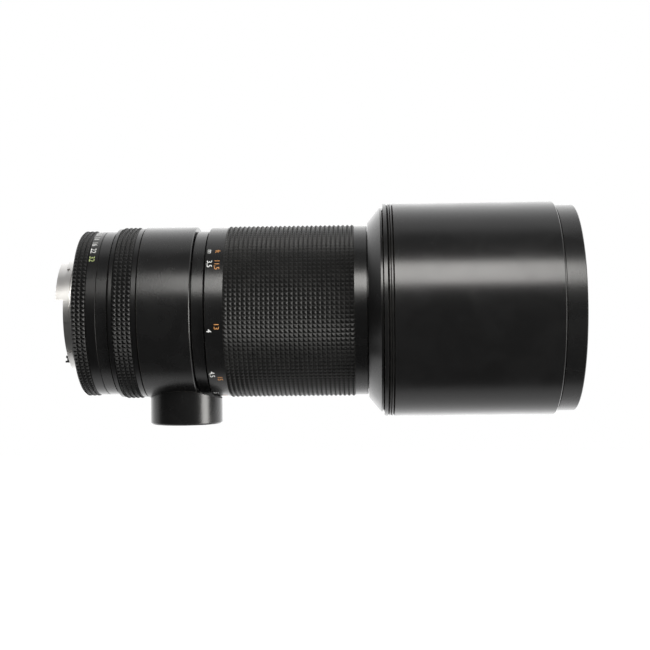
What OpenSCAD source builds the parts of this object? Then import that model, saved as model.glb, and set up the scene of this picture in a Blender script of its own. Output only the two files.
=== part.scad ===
// Super telephoto lens of the 300 mm f/4 class, with a rotating tripod collar and a sliding hood.
// Lengths are in millimetres. The origin is the centre of the camera flange plane on the optical
// axis, +X runs forward to the front glass and +Z is up, with the tripod foot below.
// Azimuths are in degrees about the optical axis: 0 is the top, and they grow towards -Y.

/* [Camera mount] */
// Outer radius of the mount flange
flange_r = 29; // [28.8:0.1:30]
// Thickness of the mount flange
flange_t = 1.2; // [1:0.1:1.6]
// Height of the bayonet lugs over the tube that carries them
lug_h = 1; // [0.8:0.1:1.2]
// Distance from the flange plane to the rear face of the lugs
lug_reach = 4; // [3.6:0.1:4.6]
// Thickness of the lugs along the axis
lug_t = 2.2; // [1.8:0.1:2.4]
// Number of bayonet lugs
lug_count = 3; // [3:1:4]
// Arc that each lug covers, in degrees
lug_span = 86; // [50:1:86]
// Width of the flange outside the tube that carries the lugs
flange_w = 6.4; // [6.2:0.1:6.8]
// Wall of the tube that carries the lugs
mount_wall = 1.4; // [1.2:0.1:1.7]
// Reach of the protective skirt behind the flange plane
skirt_reach = 7.5; // [6:0.1:8]
// Arc that the protective skirt covers, in degrees
skirt_span = 52; // [40:1:60]
// Distance from the flange's edge to the circle of mount screws
mount_screw_inset = 2.6; // [2.4:0.1:2.8]
// Number of mount screws
mount_screw_count = 4; // [3:1:5]

/* [Main barrel] */
// Step from the mount flange out to the long guide tube, on which the moving rings run
guide_step = 1.9; // [1.8:0.05:2]
// Wall of the guide tube
barrel_wall = 1.5; // [1.3:0.1:1.7]
// Length of the guide tube in front of its key slots
guide_end_l = 2.25; // [2:0.05:5]
// Height of the fixed index ring over the guide tube
index_rise = 3; // [2.8:0.1:3.2]
// Length of the fixed index ring
index_l = 4.5; // [4:0.1:6]
// Height of the seat for the lock ring and the tripod collar over the guide tube
collar_seat_rise = 0.7; // [0.5:0.05:0.9]
// Wall of the neck ring behind the focusing ring
neck_wall = 2.05; // [1.8:0.05:2.4]
// Length of the neck ring
neck_l = 5; // [4.5:0.1:6]

/* [Aperture ring] */
// Wall of the aperture ring at the smooth numbered band
aperture_wall = 2.92; // [2.7:0.02:3.2]
// Length of the aperture ring
aperture_l = 9.65; // [9.4:0.05:11]
// Columns of knurling on the aperture ring
aperture_knurl_columns = 3; // [2:1:3]
// Turn between neighbouring stops, in degrees
stop_angle = 8; // [6:0.5:8]
// Number of stops from fully open to fully closed
stop_count = 6; // [5:1:6]

/* [Lock ring] */
// Wall of the lock ring at its rims
lock_wall = 3.4; // [3.2:0.1:3.7]
// Length of the lock ring
lock_l = 11.6; // [11.2:0.1:13]
// Width of the rim in front of the lock ring's knurling
lock_front_rim = 2.2; // [1.6:0.1:2.4]
// Columns of knurling on the lock ring
lock_knurl_columns = 4; // [3:1:4]

/* [Knurling] */
// Width of one pyramid along the axis
knurl_w = 1.85; // [1.6:0.05:1.9]
// Height of one pyramid
knurl_depth = 0.85; // [0.6:0.05:0.9]
// Height of the pyramids' tips over the plain rims beside them
knurl_proud_h = 0.5; // [0.3:0.05:0.6]
// Pyramids round a ring
knurl_rows = 120; // [96:12:120]

/* [Tripod collar] */
// Wall of the tripod collar
collar_wall = 3.75; // [3.5:0.05:4.1]
// Length of the tripod collar
collar_l = 20.8; // [19:0.1:24]
// Rounding of the collar's rear edge
collar_round = 1.2; // [0.8:0.1:1.6]
// Radius of the tripod foot
foot_r = 14.9; // [13:0.1:15.2]
// Height of the foot under the collar
foot_h = 10.85; // [9:0.05:16]
// Distance from the collar's rear face to the foot
foot_margin = -0.12; // [-0.2:0.02:2]
// Major radius of the quarter inch tripod thread
tripod_thread_r = 3.175; // [3:0.025:3.3]
// Outer radius of the steel thread bush
bush_r = 5.5; // [5:0.1:7]
// Thickness of the foot over the steel thread bush
bush_cover = 1.45; // [1:0.05:3]
// Thickness of the bush over the thread
bush_end_t = 1.5; // [1:0.1:2]

/* [Focusing ring] */
// Wall of the focusing ring at its plain bands
focus_wall = 2.12; // [2:0.02:2.4]
// Length of the focusing ring
focus_l = 64.4; // [63:0.1:66]
// Width of the distance scale band behind the grip
scale_band_l = 7.4; // [6.5:0.1:9]
// Width of the plain band in front of the grip
front_band_l = 5.2; // [4:0.1:8]
// Depth of the groove that holds the grip
grip_seat_depth = 1.1; // [0.9:0.05:1.2]
// Wall of the moving helicoid tube
helicoid_wall = 1.6; // [1.5:0.05:1.7]
// Travel of the front unit from infinity to the closest distance
focus_travel = 31.4; // [24:0.1:32]
// Turn of the focusing ring from infinity to the closest distance, in degrees
focus_turn = 302; // [240:1:310]

/* [Front barrel] */
// Step from the focusing ring out to the rear of the cone
cone_step = 1.25; // [1.2:0.05:2]
// Rise of the cone
cone_rise = 5.95; // [5:0.05:6.5]
// Length of the cone
cone_l = 4.9; // [4.2:0.05:6]
// Length of the flat land in front of the cone
cone_land_l = 0.8; // [0.6:0.05:1.4]
// Step from the cone's land down to the tube under the hood
land_step = 0.2; // [0.15:0.05:0.5]
// Wall of the tube round the front cell
front_tube_wall = 1.4; // [1.2:0.05:1.6]

/* [Filter ring] */
// Wall of the filter ring outside its thread
filter_wall = 1.46; // [1.3:0.02:1.6]
// Length of the filter ring that shows
filter_ring_l = 7.8; // [7:0.1:10]
// Step from the tube under the hood down to the filter thread
filter_step = 1; // [0.9:0.05:1.1]
// Length of the filter thread
filter_thread_l = 5.3; // [4:0.1:6]

/* [Hood] */
// Length of the hood
hood_l = 69.6; // [66:0.1:72]
// Wall of the hood
hood_wall = 1.1; // [1:0.05:1.2]
// Thickness of the felt that the hood slides on
felt_t = 0.82; // [0.7:0.02:1.2]
// Length of the guide band at the hood's rear end
hood_band_l = 20; // [16:0.5:30]
// Depth of the grip grooves round the hood's rear end
hood_groove_depth = 0.75; // [0.4:0.05:0.8]

/* [Glass] */
// Wall of the front cell round the front element
cell_wall = 1.8; // [1.6:0.1:2.2]
// Step from the front element's radius down to the second's
second_glass_step = 2; // [1.8:0.1:2.6]
// Step from the second element's radius down to the third's
third_glass_step = 2.3; // [1.8:0.1:2.8]
// Wall of the rear cell round its two elements
rear_cell_wall = 2.3; // [2:0.1:3]

/* [Iris] */
// Number of iris blades
blade_count = 8; // [8:1:8]
// Distance from the edge of the fully open iris to the circle of blade pivots
iris_rim_w = 8.6; // [8.4:0.1:9.2]
// Thickness of a blade
blade_t = 0.2; // [0.14:0.02:0.22]
// Distance from the housing's bore to the circle of blade pivots
pivot_inset = 2.2; // [2.1:0.05:2.4]
// Distance from a blade's pivot to its drive pin
drive_arm_l = 6; // [5:0.1:6.2]

/* [Clearances] */
// Radial clearance of a running fit
running = 0.08; // [0.05:0.01:0.1]
// Free gap between pieces that move past each other
free_gap = 0.3; // [0.26:0.01:0.34]
// Axial gap between faces that turn against each other
face_gap = 0.1; // [0.08:0.01:0.15]
// Axial seam between neighbouring rings
seam = 0.3; // [0.2:0.05:0.4]

/* [Hidden] */
$fn = 96;
BLADES = [for (i = [1:blade_count]) str("blade_", i)];

// Cuts run past the faces they open by this much
over = 1;
// Turned edges are broken by this chamfer
edge = 0.3;

// Radii, from the mount flange out to the hood and in to the iris
mount_tube_r = flange_r - flange_w;
throat_r = mount_tube_r - mount_wall;
lug_r = mount_tube_r + lug_h;
mount_screw_circle_r = flange_r - mount_screw_inset;
guide_r = flange_r + guide_step;
index_r = guide_r + index_rise;
aperture_r = guide_r + running + aperture_wall;
collar_seat_r = guide_r + collar_seat_rise;
collar_bore_r = collar_seat_r + face_gap;
lock_r = collar_bore_r + lock_wall;
collar_r = collar_bore_r + collar_wall;
neck_r = collar_seat_r + neck_wall;
helicoid_bore_r = guide_r + free_gap;
helicoid_r = helicoid_bore_r + helicoid_wall;
focus_bore_r = helicoid_r + running;
focus_r = focus_bore_r + focus_wall;
cone_r0 = focus_r + cone_step;
cone_r1 = cone_r0 + cone_rise;
front_tube_r = cone_r1 - land_step;
front_bore_r = front_tube_r - front_tube_wall;
filter_thread_r = front_tube_r - filter_step;
filter_ring_r = filter_thread_r + filter_wall;
felt_r0 = front_tube_r + running;
hood_bore_r = felt_r0 + felt_t;
hood_r = hood_bore_r + hood_wall;
front_glass_r = front_bore_r - cell_wall;
second_glass_r = front_glass_r - second_glass_step;
third_glass_r = second_glass_r - third_glass_step;

// Places along the axis, from the flange plane forward
aperture_x0 = flange_t + face_gap;
aperture_x1 = aperture_x0 + aperture_l;
index_x0 = aperture_x1 + face_gap;
index_x1 = index_x0 + index_l;
lock_x0 = index_x1 + face_gap;
lock_x1 = lock_x0 + lock_l;
collar_x0 = lock_x1 + seam;
collar_x1 = collar_x0 + collar_l;
neck_x0 = collar_x1 + seam;
neck_x1 = neck_x0 + neck_l;
focus_x0 = neck_x1 + seam;
focus_x1 = focus_x0 + focus_l;
cone_x0 = focus_x1 + seam;
cone_x1 = cone_x0 + cone_l;
land_x1 = cone_x1 + cone_land_l;
hood_seam = 0.5;
hood_x0 = land_x1 + hood_seam;
hood_x1 = hood_x0 + hood_l;
filter_seam = 0.6;
filter_x0 = hood_x1 + filter_seam;
filter_x1 = filter_x0 + filter_ring_l;

// Camera mount
lug_root = mount_wall / 2;
mount_screw_r = 1;
mount_head_r = 1.7;
mount_head_l = 0.9;
mount_screw_l = 3.4;
lock_notch_r = 1.3;
lock_notch_azimuth = 112;
stop_stud_r = 0.6;
stop_stud_h = 0.6;
stop_stud_inset = 0.7;
stop_stud_azimuth = 40;
flange_relief_gap = 0.2;
flange_relief_t = 0.3;
relief_r = lug_r + stop_stud_h + flange_relief_gap;
first_lug_azimuth = 12.5;
tube_proud = 0.3;
skirt_azimuth = 50;
skirt_inset = 0.1;

// Main barrel: the boss behind the mount, the lip that carries the stop-down ring, and the bores
boss_inset = 0.8;
boss_r = flange_r - boss_inset;
boss_l = 1.9;
boss_x1 = flange_t + boss_l;
barrel_bore_r = guide_r - barrel_wall;
ring_bore_inset = 1.7;
ring_bore_r = mount_screw_circle_r - ring_bore_inset;
ring_seat_l = 2.6;
lip_h = 2.2;
lip_r = ring_bore_r - lip_h;
lip_t = 1.2;
lip_x0 = flange_t + ring_seat_l;
lip_x1 = lip_x0 + lip_t;

// Rear baffle, clamped to the front face of the mount
baffle_gap = 4.2;
baffle_r = throat_r - baffle_gap;
baffle_wall = 0.8;
baffle_flange_t = 0.8;
baffle_reach = 5.2;

// Stop-down lever: a ring in the barrel's bore, and a bar that ends in a headed pin
lever_ring_t = 1.1;
lever_ring_w = 2.6;
lever_bar_t = 1;
lever_bar_w = 3;
lever_reach = 8.1;
lever_pin_r = 0.5;
lever_head_r = 1.2;
lever_head_t = 0.75;
lever_bar_end = 0.15;
lever_stem_l = 1;
lever_azimuth = 175;
lever_turn = 20;
lever_x0 = flange_t + baffle_flange_t + free_gap;
lever_slot_inset = 0.4;
lever_bar_r0 = baffle_r + lever_slot_inset + free_gap;
lever_pin_x = -lever_reach + lever_head_r;
lever_bar_x0 = lever_pin_x - lever_pin_r - lever_bar_end;

// Aperture ring and the fork bar that it turns
aperture_turn = stop_angle * stop_count;
ring_lip_t = boss_l - 2 * face_gap;
fork_azimuth = 220;
fork_bar_t = 1.8;
fork_bar_w = 4;
fork_foot_l = 2.4;
fork_x0 = (aperture_x0 + aperture_x1) / 2 + face_gap;
fork_r1 = barrel_bore_r - free_gap;
fork_r0 = fork_r1 - fork_bar_t;
fork_window_gap = 0.4;
click_azimuth = 100;
click_ball_r = 0.8;
click_spring_t = 0.3;
click_spring_w = 2;
click_spring_span = 40;
click_notch_r = 0.5;
click_x = fork_x0 + fork_foot_l / 2;
click_ball_centre_r = barrel_bore_r + click_ball_r - face_gap;

// Tripod collar and foot
foot_x = collar_x0 + foot_margin + foot_r;
foot_drop = collar_r + foot_h;
bush_l = foot_h - bush_cover;
tripod_thread_l = bush_l - bush_end_t;
foot_relief = 0.45;
foot_edge = 0.6;
foot_screw_r = 1.1;
foot_screw_head_r = 1.9;
foot_screw_head_l = 1.4;
foot_screw_l = 7.6;
foot_screw_y_share = 0.538;
foot_screw_y = foot_screw_y_share * foot_r;
foot_screw_xs = [collar_x0 + 2.5 * foot_screw_head_r, collar_x1 - 2.5 * foot_screw_head_r];
foot_screw_inset = 1;

// Focusing ring, its retainer and its stop
focus_lip_t = 2.3;
scale_chamfer = 0.8;
grip_x0 = focus_x0 + scale_band_l;
grip_l = focus_l - scale_band_l - front_band_l;
grip_columns = round(grip_l / knurl_w);
grip_pitch = grip_l / grip_columns;
retainer_t = 0.8;
retainer_x0 = focus_x0 + focus_lip_t + face_gap;
retainer_r = helicoid_r - free_gap;
stop_pin_r = 0.7;
stop_pin_circle_r = (guide_r + focus_r) / 2;
stop_pin_depth = 2;
stop_pin_reach = 1.2;
stop_pin_azimuth = 180;
stop_slot_slack = asin((stop_pin_r + face_gap) / stop_pin_circle_r);
neck_screw_r = 0.8;
neck_screw_count = 2;
neck_screw_azimuth0 = 170;

// Front unit
helicoid_x0 = retainer_x0 + retainer_t + seam;
web_t = 3;
web_x1 = cone_x0 + web_t;
unit_flange_t = 1.6;
unit_flange_w = 4.1;
unit_flange_r = helicoid_r + unit_flange_w;
flange_a_x1 = web_x1 + unit_flange_t;
flange_b_x1 = flange_a_x1 + unit_flange_t;
key_l = 8;
key_w = 5;
key_inset = 5.5;
key_x0 = helicoid_x0 + key_inset;
key_count = 2;
key_azimuth = 90;
key_slot_gap = 0.15;
guide_x1 = key_x0 + key_l + focus_travel + key_slot_gap + guide_end_l;
inner_tube_r = fork_r0 - free_gap;
inner_tube_wall = 1.3;
inner_bore_r = inner_tube_r - inner_tube_wall;
inner_x0 = helicoid_x0 - free_gap;
unit_screw_r = 1;
unit_screw_head_r = 1.6;
unit_screw_head_l = 1.1;
unit_screw_count = 6;
unit_screw_circle_r = (helicoid_r + unit_flange_r) / 2;
unit_screw_l = 5.4;
front_step = 1.2;

// Depth of a spherical face at a distance from the axis, over the plane of its rim
function face_depth(curve, r, rho) =
  sign(curve) * (sqrt(curve * curve - rho * rho) - sqrt(curve * curve - r * r));

// Height over its rim at which a bulging face meets a seat whose inner radius is rho
function seat_rise(curve, r, rho) = max(0, face_depth(curve, r, rho));

// Front cell: places of the three front elements, from the cell's rear face forward
front_curves = [350, 120];
second_curves = [-500, 110];
third_curves = [-110, -250];
trim_setback = 12;
trim_x0 = filter_x0 - trim_setback;
trim_x1 = filter_x1 - filter_thread_l;
front_retainer_l = 3.5;
front_edge = 3.5;
front_spacer_l = 14.5;
second_edge = 3.5;
middle_spacer_l = 3;
third_mid_t = 2.06;
third_edge = third_mid_t - face_depth(third_curves[0], third_glass_r, 0)
  - face_depth(third_curves[1], third_glass_r, 0);
cell_lip_t = 2;
lens_lip = 1.6;
cell_lip_r = third_glass_r - lens_lip;
front_x0 = trim_x0 - front_retainer_l - front_edge;
second_x0 = front_x0 - front_spacer_l - second_edge;
third_x0 = second_x0 - middle_spacer_l - third_edge;
cell_x0 = third_x0 - cell_lip_t;
spigot_l = 5;
spigot_wall = 1;
spigot_r0 = front_bore_r - spigot_wall;
trim_ribs = 6;
trim_rib_depth = 0.4;
trim_inset = 0.8;
trim_r0 = front_glass_r - trim_inset;
lens_steps = 12;
front_seat_x = front_x0 - seat_rise(front_curves[0], front_glass_r, second_glass_r);
front_retainer_x0 = front_x0 + front_edge
  + seat_rise(front_curves[1], front_glass_r, front_glass_r - lens_lip);
front_spacer_r0 = second_glass_r - lens_lip;
front_spacer_x0 = second_x0 + second_edge + seat_rise(second_curves[1], second_glass_r, front_spacer_r0);
front_spacer_x1 = front_x0 - seat_rise(front_curves[0], front_glass_r, front_spacer_r0);

// Rear cell
rear_cell_reach = 7;
rear_cell_x0 = inner_x0 - rear_cell_reach;
rear_flange_w = 5.9;
rear_cell_r = inner_bore_r - rear_flange_w;
rear_glass_r = rear_cell_r - rear_cell_wall;
rear_cell_lip_t = 2;
rear_flange_t = 3;
rear_flange_x0 = inner_x0 + rear_cell_lip_t / 2;
rear_lip = 1.6;
rear_curves = [70, -120];
fourth_curves = [-60, -90];
fourth_mid_t = 2.67;
fourth_edge = fourth_mid_t - face_depth(fourth_curves[0], rear_glass_r, 0)
  - face_depth(fourth_curves[1], rear_glass_r, 0);
rear_edge = 2.5;
rear_spacer_l = 2.5;
rear_seat_l = 2;
rear_x0 = rear_cell_x0 + rear_seat_l;
rear_x1 = rear_x0 + rear_edge;
fourth_x0 = rear_x1 + rear_spacer_l;
fourth_x1 = fourth_x0 + fourth_edge;
rear_retainer_l = 1.6;
rear_retainer_x1 = rear_x0 - seat_rise(rear_curves[0], rear_glass_r, rear_glass_r - rear_lip);

// Iris, between the rear cell and the first baffle of the inner tube
iris_inset = 13;
iris_x0 = inner_x0 + iris_inset;
iris_plate_t = 1.2;
iris_wall = 0.7;
iris_bore_r = inner_bore_r - iris_wall;
pivot_circle_r = iris_bore_r - pivot_inset;
iris_open_r = pivot_circle_r - iris_rim_w;
iris_port_gap = 0.4;
blade_gap = 0.14;
blade_level = blade_t + blade_gap;
blade_x0 = iris_x0 + iris_plate_t + free_gap;
drive_gap = 0.2;
drive_x0 = blade_x0 + blade_count * blade_level + drive_gap;
drive_t = 1.2;
drive_r1 = iris_bore_r - free_gap;
drive_rim = 0.8;
drive_r0 = iris_open_r + iris_port_gap + drive_rim;
cover_gap = 0.4;
cover_x0 = drive_x0 + drive_t + cover_gap;
cover_t = 1;
iris_x1 = cover_x0 + cover_t;
blade_pin_r = 0.6;
drive_pin_r = 0.55;
blade_pad_r = 1.1;
blade_w = iris_rim_w - blade_pad_r;
blade_start = -6;
blade_end = 110;
blade_steps = 14;
pad_steps = 6;
stop_ratio = 8;
blade_turn = 2 * asin((iris_open_r - iris_open_r / stop_ratio) / (2 * pivot_circle_r));
slot_clearance = 0.1;
slot_steps = 12;
prong_w = 2.2;
prong_gap = 0.15;
follower_half = asin((fork_bar_w / 2 + prong_gap + prong_w + free_gap) / inner_tube_r);
tube_baffle_t = 0.8;
tube_baffle_pitch = 12;
tube_baffles = 3;
tube_baffle_depth = 6.2;
tube_baffle_r0 = inner_bore_r - tube_baffle_depth;
tube_baffle_growth = 1.9;

// Hood
stop_groove_depth = 0.8;
hood_lip_t = 1.5;
hood_lip_gap = 0.2;
hood_lip_r = front_tube_r + hood_lip_gap;
hood_grooves = [[1.35, 0.8], [2.5, 0.4], [3.45, 0.6]];
hood_travel = filter_x0 - hood_x0 - hood_band_l - seam;

// Stands its children on the optical axis, with their z along +X and their x at the top
module along_axis() rotate([0, 90, 0]) rotate([0, 0, 180]) children();

// Turns its children about the optical axis to an azimuth
module at_azimuth(a) rotate([a, 0, 0]) children();

// Piece turned on the lathe from points given as [place along the axis, radius]
module turned(points) along_axis() rotate_extrude() polygon([for (p = points) [p[1], p[0]]]);

// Plain ring between two places along the axis and two radii
module ring(x0, x1, r0, r1) turned([[x0, r0], [x1, r0], [x1, r1], [x0, r1]]);

// Solid rod on the axis
module rod(x0, x1, r) along_axis() translate([0, 0, x0]) cylinder(r = r, h = x1 - x0);

// Part of a ring between two azimuths
module sector(x0, x1, r0, r1, a0, a1)
  along_axis() rotate([0, 0, a0]) rotate_extrude(angle = a1 - a0)
    translate([r0, x0]) square([r1 - r0, x1 - x0]);

// Rod parallel to the axis at a radius and an azimuth
module offset_rod(x0, x1, r, circle_r, a)
  at_azimuth(a) translate([x0, 0, circle_r]) rotate([0, 90, 0]) cylinder(r = r, h = x1 - x0);

// Rod that points away from the axis at a place and an azimuth
module radial_rod(x, r0, r1, r, a) at_azimuth(a) translate([x, 0, r0]) cylinder(r = r, h = r1 - r0);

// Drum whose side is covered with square pyramids
module knurled_drum(x0, columns, base_r) {
  step = 360 / knurl_rows;
  function on_drum(x, r, a) = [x, -r * sin(a), r * cos(a)];
  function corner(i, j) = i * knurl_rows + j % knurl_rows;
  function tip(i, j) = (columns + 1) * knurl_rows + i * knurl_rows + j;
  corners = [for (i = [0:columns], j = [0:knurl_rows - 1])
    on_drum(x0 + i * knurl_w, base_r, j * step)];
  tips = [for (i = [0:columns - 1], j = [0:knurl_rows - 1])
    on_drum(x0 + (i + 0.5) * knurl_w, base_r + knurl_depth, (j + 0.5) * step)];
  sides = [for (i = [0:columns - 1], j = [0:knurl_rows - 1], side = [
      [corner(i, j), corner(i + 1, j)],
      [corner(i + 1, j), corner(i + 1, j + 1)],
      [corner(i + 1, j + 1), corner(i, j + 1)],
      [corner(i, j + 1), corner(i, j)]
    ]) [side[0], side[1], tip(i, j)]];
  rear = [for (j = [0:knurl_rows - 1]) corner(0, j)];
  front = [for (j = [0:knurl_rows - 1]) corner(columns, knurl_rows - 1 - j)];
  polyhedron(points = concat(corners, tips), faces = concat(sides, [rear, front]));
}

// Glass element with its edge from x to x + edge_t. The curves are the radii of the rear and
// front faces: a positive one bulges out of the glass and a negative one is hollow.
module element(x, r, edge_t, curves)
  turned(concat(
    [for (k = [0:lens_steps]) let (rho = r * k / lens_steps) [x - face_depth(curves[0], r, rho), rho]],
    [for (k = [lens_steps:-1:0]) let (rho = r * k / lens_steps)
      [x + edge_t + face_depth(curves[1], r, rho), rho]]
  ));

// Chrome bayonet with its flange, lugs and the skirt that guards the rear glass
module bayonet_mount() color("gainsboro") {
  difference() {
    union() {
      turned([
        [-lug_reach - tube_proud, throat_r], [flange_t, throat_r], [flange_t, flange_r], [0, flange_r],
        [0, relief_r], [flange_relief_t, relief_r], [flange_relief_t, mount_tube_r],
        [-lug_reach - tube_proud, mount_tube_r]
      ]);
      for (i = [0:lug_count - 1])
        sector(-lug_reach, lug_t - lug_reach, mount_tube_r - lug_root, lug_r,
          first_lug_azimuth + i * 360 / lug_count, first_lug_azimuth + i * 360 / lug_count + lug_span);
      sector(-skirt_reach, -lug_reach / 2, throat_r + skirt_inset, mount_tube_r - skirt_inset,
        skirt_azimuth - skirt_span / 2, skirt_azimuth + skirt_span / 2);
      radial_rod(stop_stud_inset - lug_reach, mount_tube_r - lug_root / 2, lug_r + stop_stud_h,
        stop_stud_r, stop_stud_azimuth);
    }
    mount_screw_holes();
    offset_rod(-over, flange_t + over, lock_notch_r, mount_screw_circle_r, lock_notch_azimuth);
  }
}

// One azimuth for each mount screw
function mount_screw_azimuth(i) = 45 + i * 360 / mount_screw_count;

module mount_screw_holes()
  for (i = [0:mount_screw_count - 1]) {
    offset_rod(-over, mount_head_l, mount_head_r, mount_screw_circle_r, mount_screw_azimuth(i));
    offset_rod(-over, mount_screw_l, mount_screw_r, mount_screw_circle_r, mount_screw_azimuth(i));
  }

// Screws that hold the bayonet to the main barrel, with a slot across each head
module mount_screws() color("silver")
  for (i = [0:mount_screw_count - 1])
    difference() {
      union() {
        offset_rod(0, mount_head_l, mount_head_r, mount_screw_circle_r, mount_screw_azimuth(i));
        offset_rod(0, mount_screw_l, mount_screw_r, mount_screw_circle_r, mount_screw_azimuth(i));
      }
      at_azimuth(mount_screw_azimuth(i))
        translate([-over, -mount_head_r - over, mount_screw_circle_r - mount_head_r / 8])
          cube([over + mount_head_l / 2, 2 * (mount_head_r + over), mount_head_r / 4]);
    }

// Light baffle inside the mount, with an arc slot for the stop-down lever
module rear_baffle() color("black")
  difference() {
    turned([
      [-baffle_reach, baffle_r - baffle_wall], [flange_t + baffle_flange_t, baffle_r - baffle_wall],
      [flange_t + baffle_flange_t, ring_bore_r - face_gap], [flange_t, ring_bore_r - face_gap],
      [flange_t, baffle_r], [-baffle_reach, baffle_r]
    ]);
    sector(flange_t - over, flange_t + baffle_flange_t + over, lever_bar_r0 - free_gap,
      lever_bar_r0 + lever_bar_t + free_gap, lever_azimuth - lever_slack, lever_azimuth + lever_turn + lever_slack);
  }

// Half width of the lever's bar with its gap, as an angle
lever_slack = asin((lever_bar_w / 2 + free_gap) / lever_bar_r0);

// Fixed barrel: index ring, collar seat and guide tube in one turned piece
module main_barrel() color("dimgray")
  difference() {
    turned([
      [flange_t, ring_bore_r], [lip_x0, ring_bore_r], [lip_x0, lip_r], [lip_x1, lip_r],
      [lip_x1, barrel_bore_r], [guide_x1, barrel_bore_r], [guide_x1, guide_r],
      [neck_x1, guide_r], [neck_x1, collar_seat_r], [index_x1, collar_seat_r],
      [index_x1, index_r - edge], [index_x1 - edge, index_r], [index_x0 + edge / 2, index_r],
      [index_x0, index_r - edge / 2], [index_x0, guide_r], [boss_x1, guide_r],
      [boss_x1, boss_r], [flange_t, boss_r]
    ]);
    mount_screw_holes();
    neck_screw_holes();
    radial_rod(click_x, barrel_bore_r - over, guide_r + over, click_ball_r + running, click_azimuth);
    sector(fork_x0 - fork_window_gap, fork_x0 + fork_foot_l + fork_window_gap,
      barrel_bore_r - over, guide_r + over,
      fork_azimuth - aperture_turn - fork_slack, fork_azimuth + fork_slack);
    for (i = [0:key_count - 1])
      at_azimuth(key_azimuth + i * 360 / key_count)
        translate([key_x0 - key_slot_gap, -key_w / 2 - key_slot_gap, 0])
          cube([key_l + focus_travel + 2 * key_slot_gap, key_w + 2 * key_slot_gap, guide_r + over]);
  }

// Half width of the fork's foot with its gap, as an angle
fork_slack = asin((fork_bar_w / 2 + fork_window_gap) / barrel_bore_r);

// Click ball of the aperture ring, pressed level with the guide tube
module click_ball() color("silver")
  at_azimuth(click_azimuth) translate([click_x, 0, click_ball_centre_r]) sphere(r = click_ball_r);

// Leaf spring that backs the click ball
module click_spring() color("goldenrod")
  sector(click_x - click_spring_w / 2, click_x + click_spring_w / 2,
    click_ball_centre_r - click_ball_r - click_spring_t, click_ball_centre_r - click_ball_r,
    click_azimuth - click_spring_span / 2, click_azimuth + click_spring_span / 2);

// Fixed ring between the tripod collar and the focusing ring
module neck_ring() color("dimgray")
  difference() {
    turned([
      [neck_x0, collar_seat_r], [neck_x1, collar_seat_r], [neck_x1, neck_r - edge],
      [neck_x1 - edge, neck_r], [neck_x0 + edge, neck_r], [neck_x0, neck_r - edge]
    ]);
    neck_screw_holes();
    offset_rod(neck_x1 - stop_pin_depth, neck_x1 + over, stop_pin_r, stop_pin_circle_r, stop_pin_azimuth);
  }

module neck_screw_holes()
  for (i = [0:neck_screw_count - 1])
    radial_rod((neck_x0 + neck_x1) / 2, guide_r, neck_r + over, neck_screw_r, neck_screw_azimuth(i));

function neck_screw_azimuth(i) = neck_screw_azimuth0 + i * 360 / neck_screw_count;

// Grub screws that hold the neck ring on the main barrel
module neck_screws() color("black")
  for (i = [0:neck_screw_count - 1])
    difference() {
      radial_rod((neck_x0 + neck_x1) / 2, guide_r, neck_r - edge, neck_screw_r, neck_screw_azimuth(i));
      at_azimuth(neck_screw_azimuth(i))
        translate([(neck_x0 + neck_x1) / 2 - neck_screw_r - over, -neck_screw_r / 6, neck_r - 2 * edge])
          cube([2 * (neck_screw_r + over), neck_screw_r / 3, over]);
    }

// Ring on the guide tube that keeps the focusing ring in place
module focus_retainer() color("dimgray")
  ring(retainer_x0, retainer_x0 + retainer_t, guide_r, retainer_r);

// Pin that ends the turn of the focusing ring
module focus_stop_pin() color("silver")
  offset_rod(neck_x1 - stop_pin_depth, focus_x0 + stop_pin_reach, stop_pin_r, stop_pin_circle_r, stop_pin_azimuth);

// Aperture ring: knurled band, numbered band, click notches in its bore
module aperture_ring() color("darkslategray") {
  knurl_l = aperture_knurl_columns * knurl_w;
  base_r = aperture_r + knurl_proud_h - knurl_depth;
  difference() {
    union() {
      knurled_drum(aperture_x0, aperture_knurl_columns, base_r);
      turned([
        [aperture_x0, 0], [aperture_x1, 0], [aperture_x1, aperture_r - edge / 2],
        [aperture_x1 - edge / 2, aperture_r], [aperture_x0 + knurl_l + edge, aperture_r],
        [aperture_x0 + knurl_l, base_r - edge], [aperture_x0, base_r - edge]
      ]);
    }
    rod(aperture_x0 - over, aperture_x1 + over, boss_r + running);
    rod(aperture_x0 + ring_lip_t, aperture_x1 + over, guide_r + running);
    for (k = [0:stop_count])
      offset_rod(click_x - click_ball_r, click_x + click_ball_r, click_notch_r, guide_r + running,
        click_azimuth + k * stop_angle);
  }
}

// Bar that carries the turn of the aperture ring forward to the iris
module aperture_fork() color("silver") {
  bar_x1 = drive_x0 + drive_t + focus_travel + fork_bar_w / 2;
  intersection() {
    ring(fork_x0 - over, bar_x1 + over, fork_r0, fork_r1);
    at_azimuth(fork_azimuth) translate([fork_x0, -fork_bar_w / 2, 0])
      cube([bar_x1 - fork_x0, fork_bar_w, fork_r1 + over]);
  }
  intersection() {
    ring(fork_x0 - over, fork_x0 + fork_foot_l, fork_r0, guide_r + running);
    at_azimuth(fork_azimuth) translate([fork_x0, -fork_bar_w / 2, 0])
      cube([fork_foot_l, fork_bar_w, guide_r + over]);
  }
}

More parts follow.
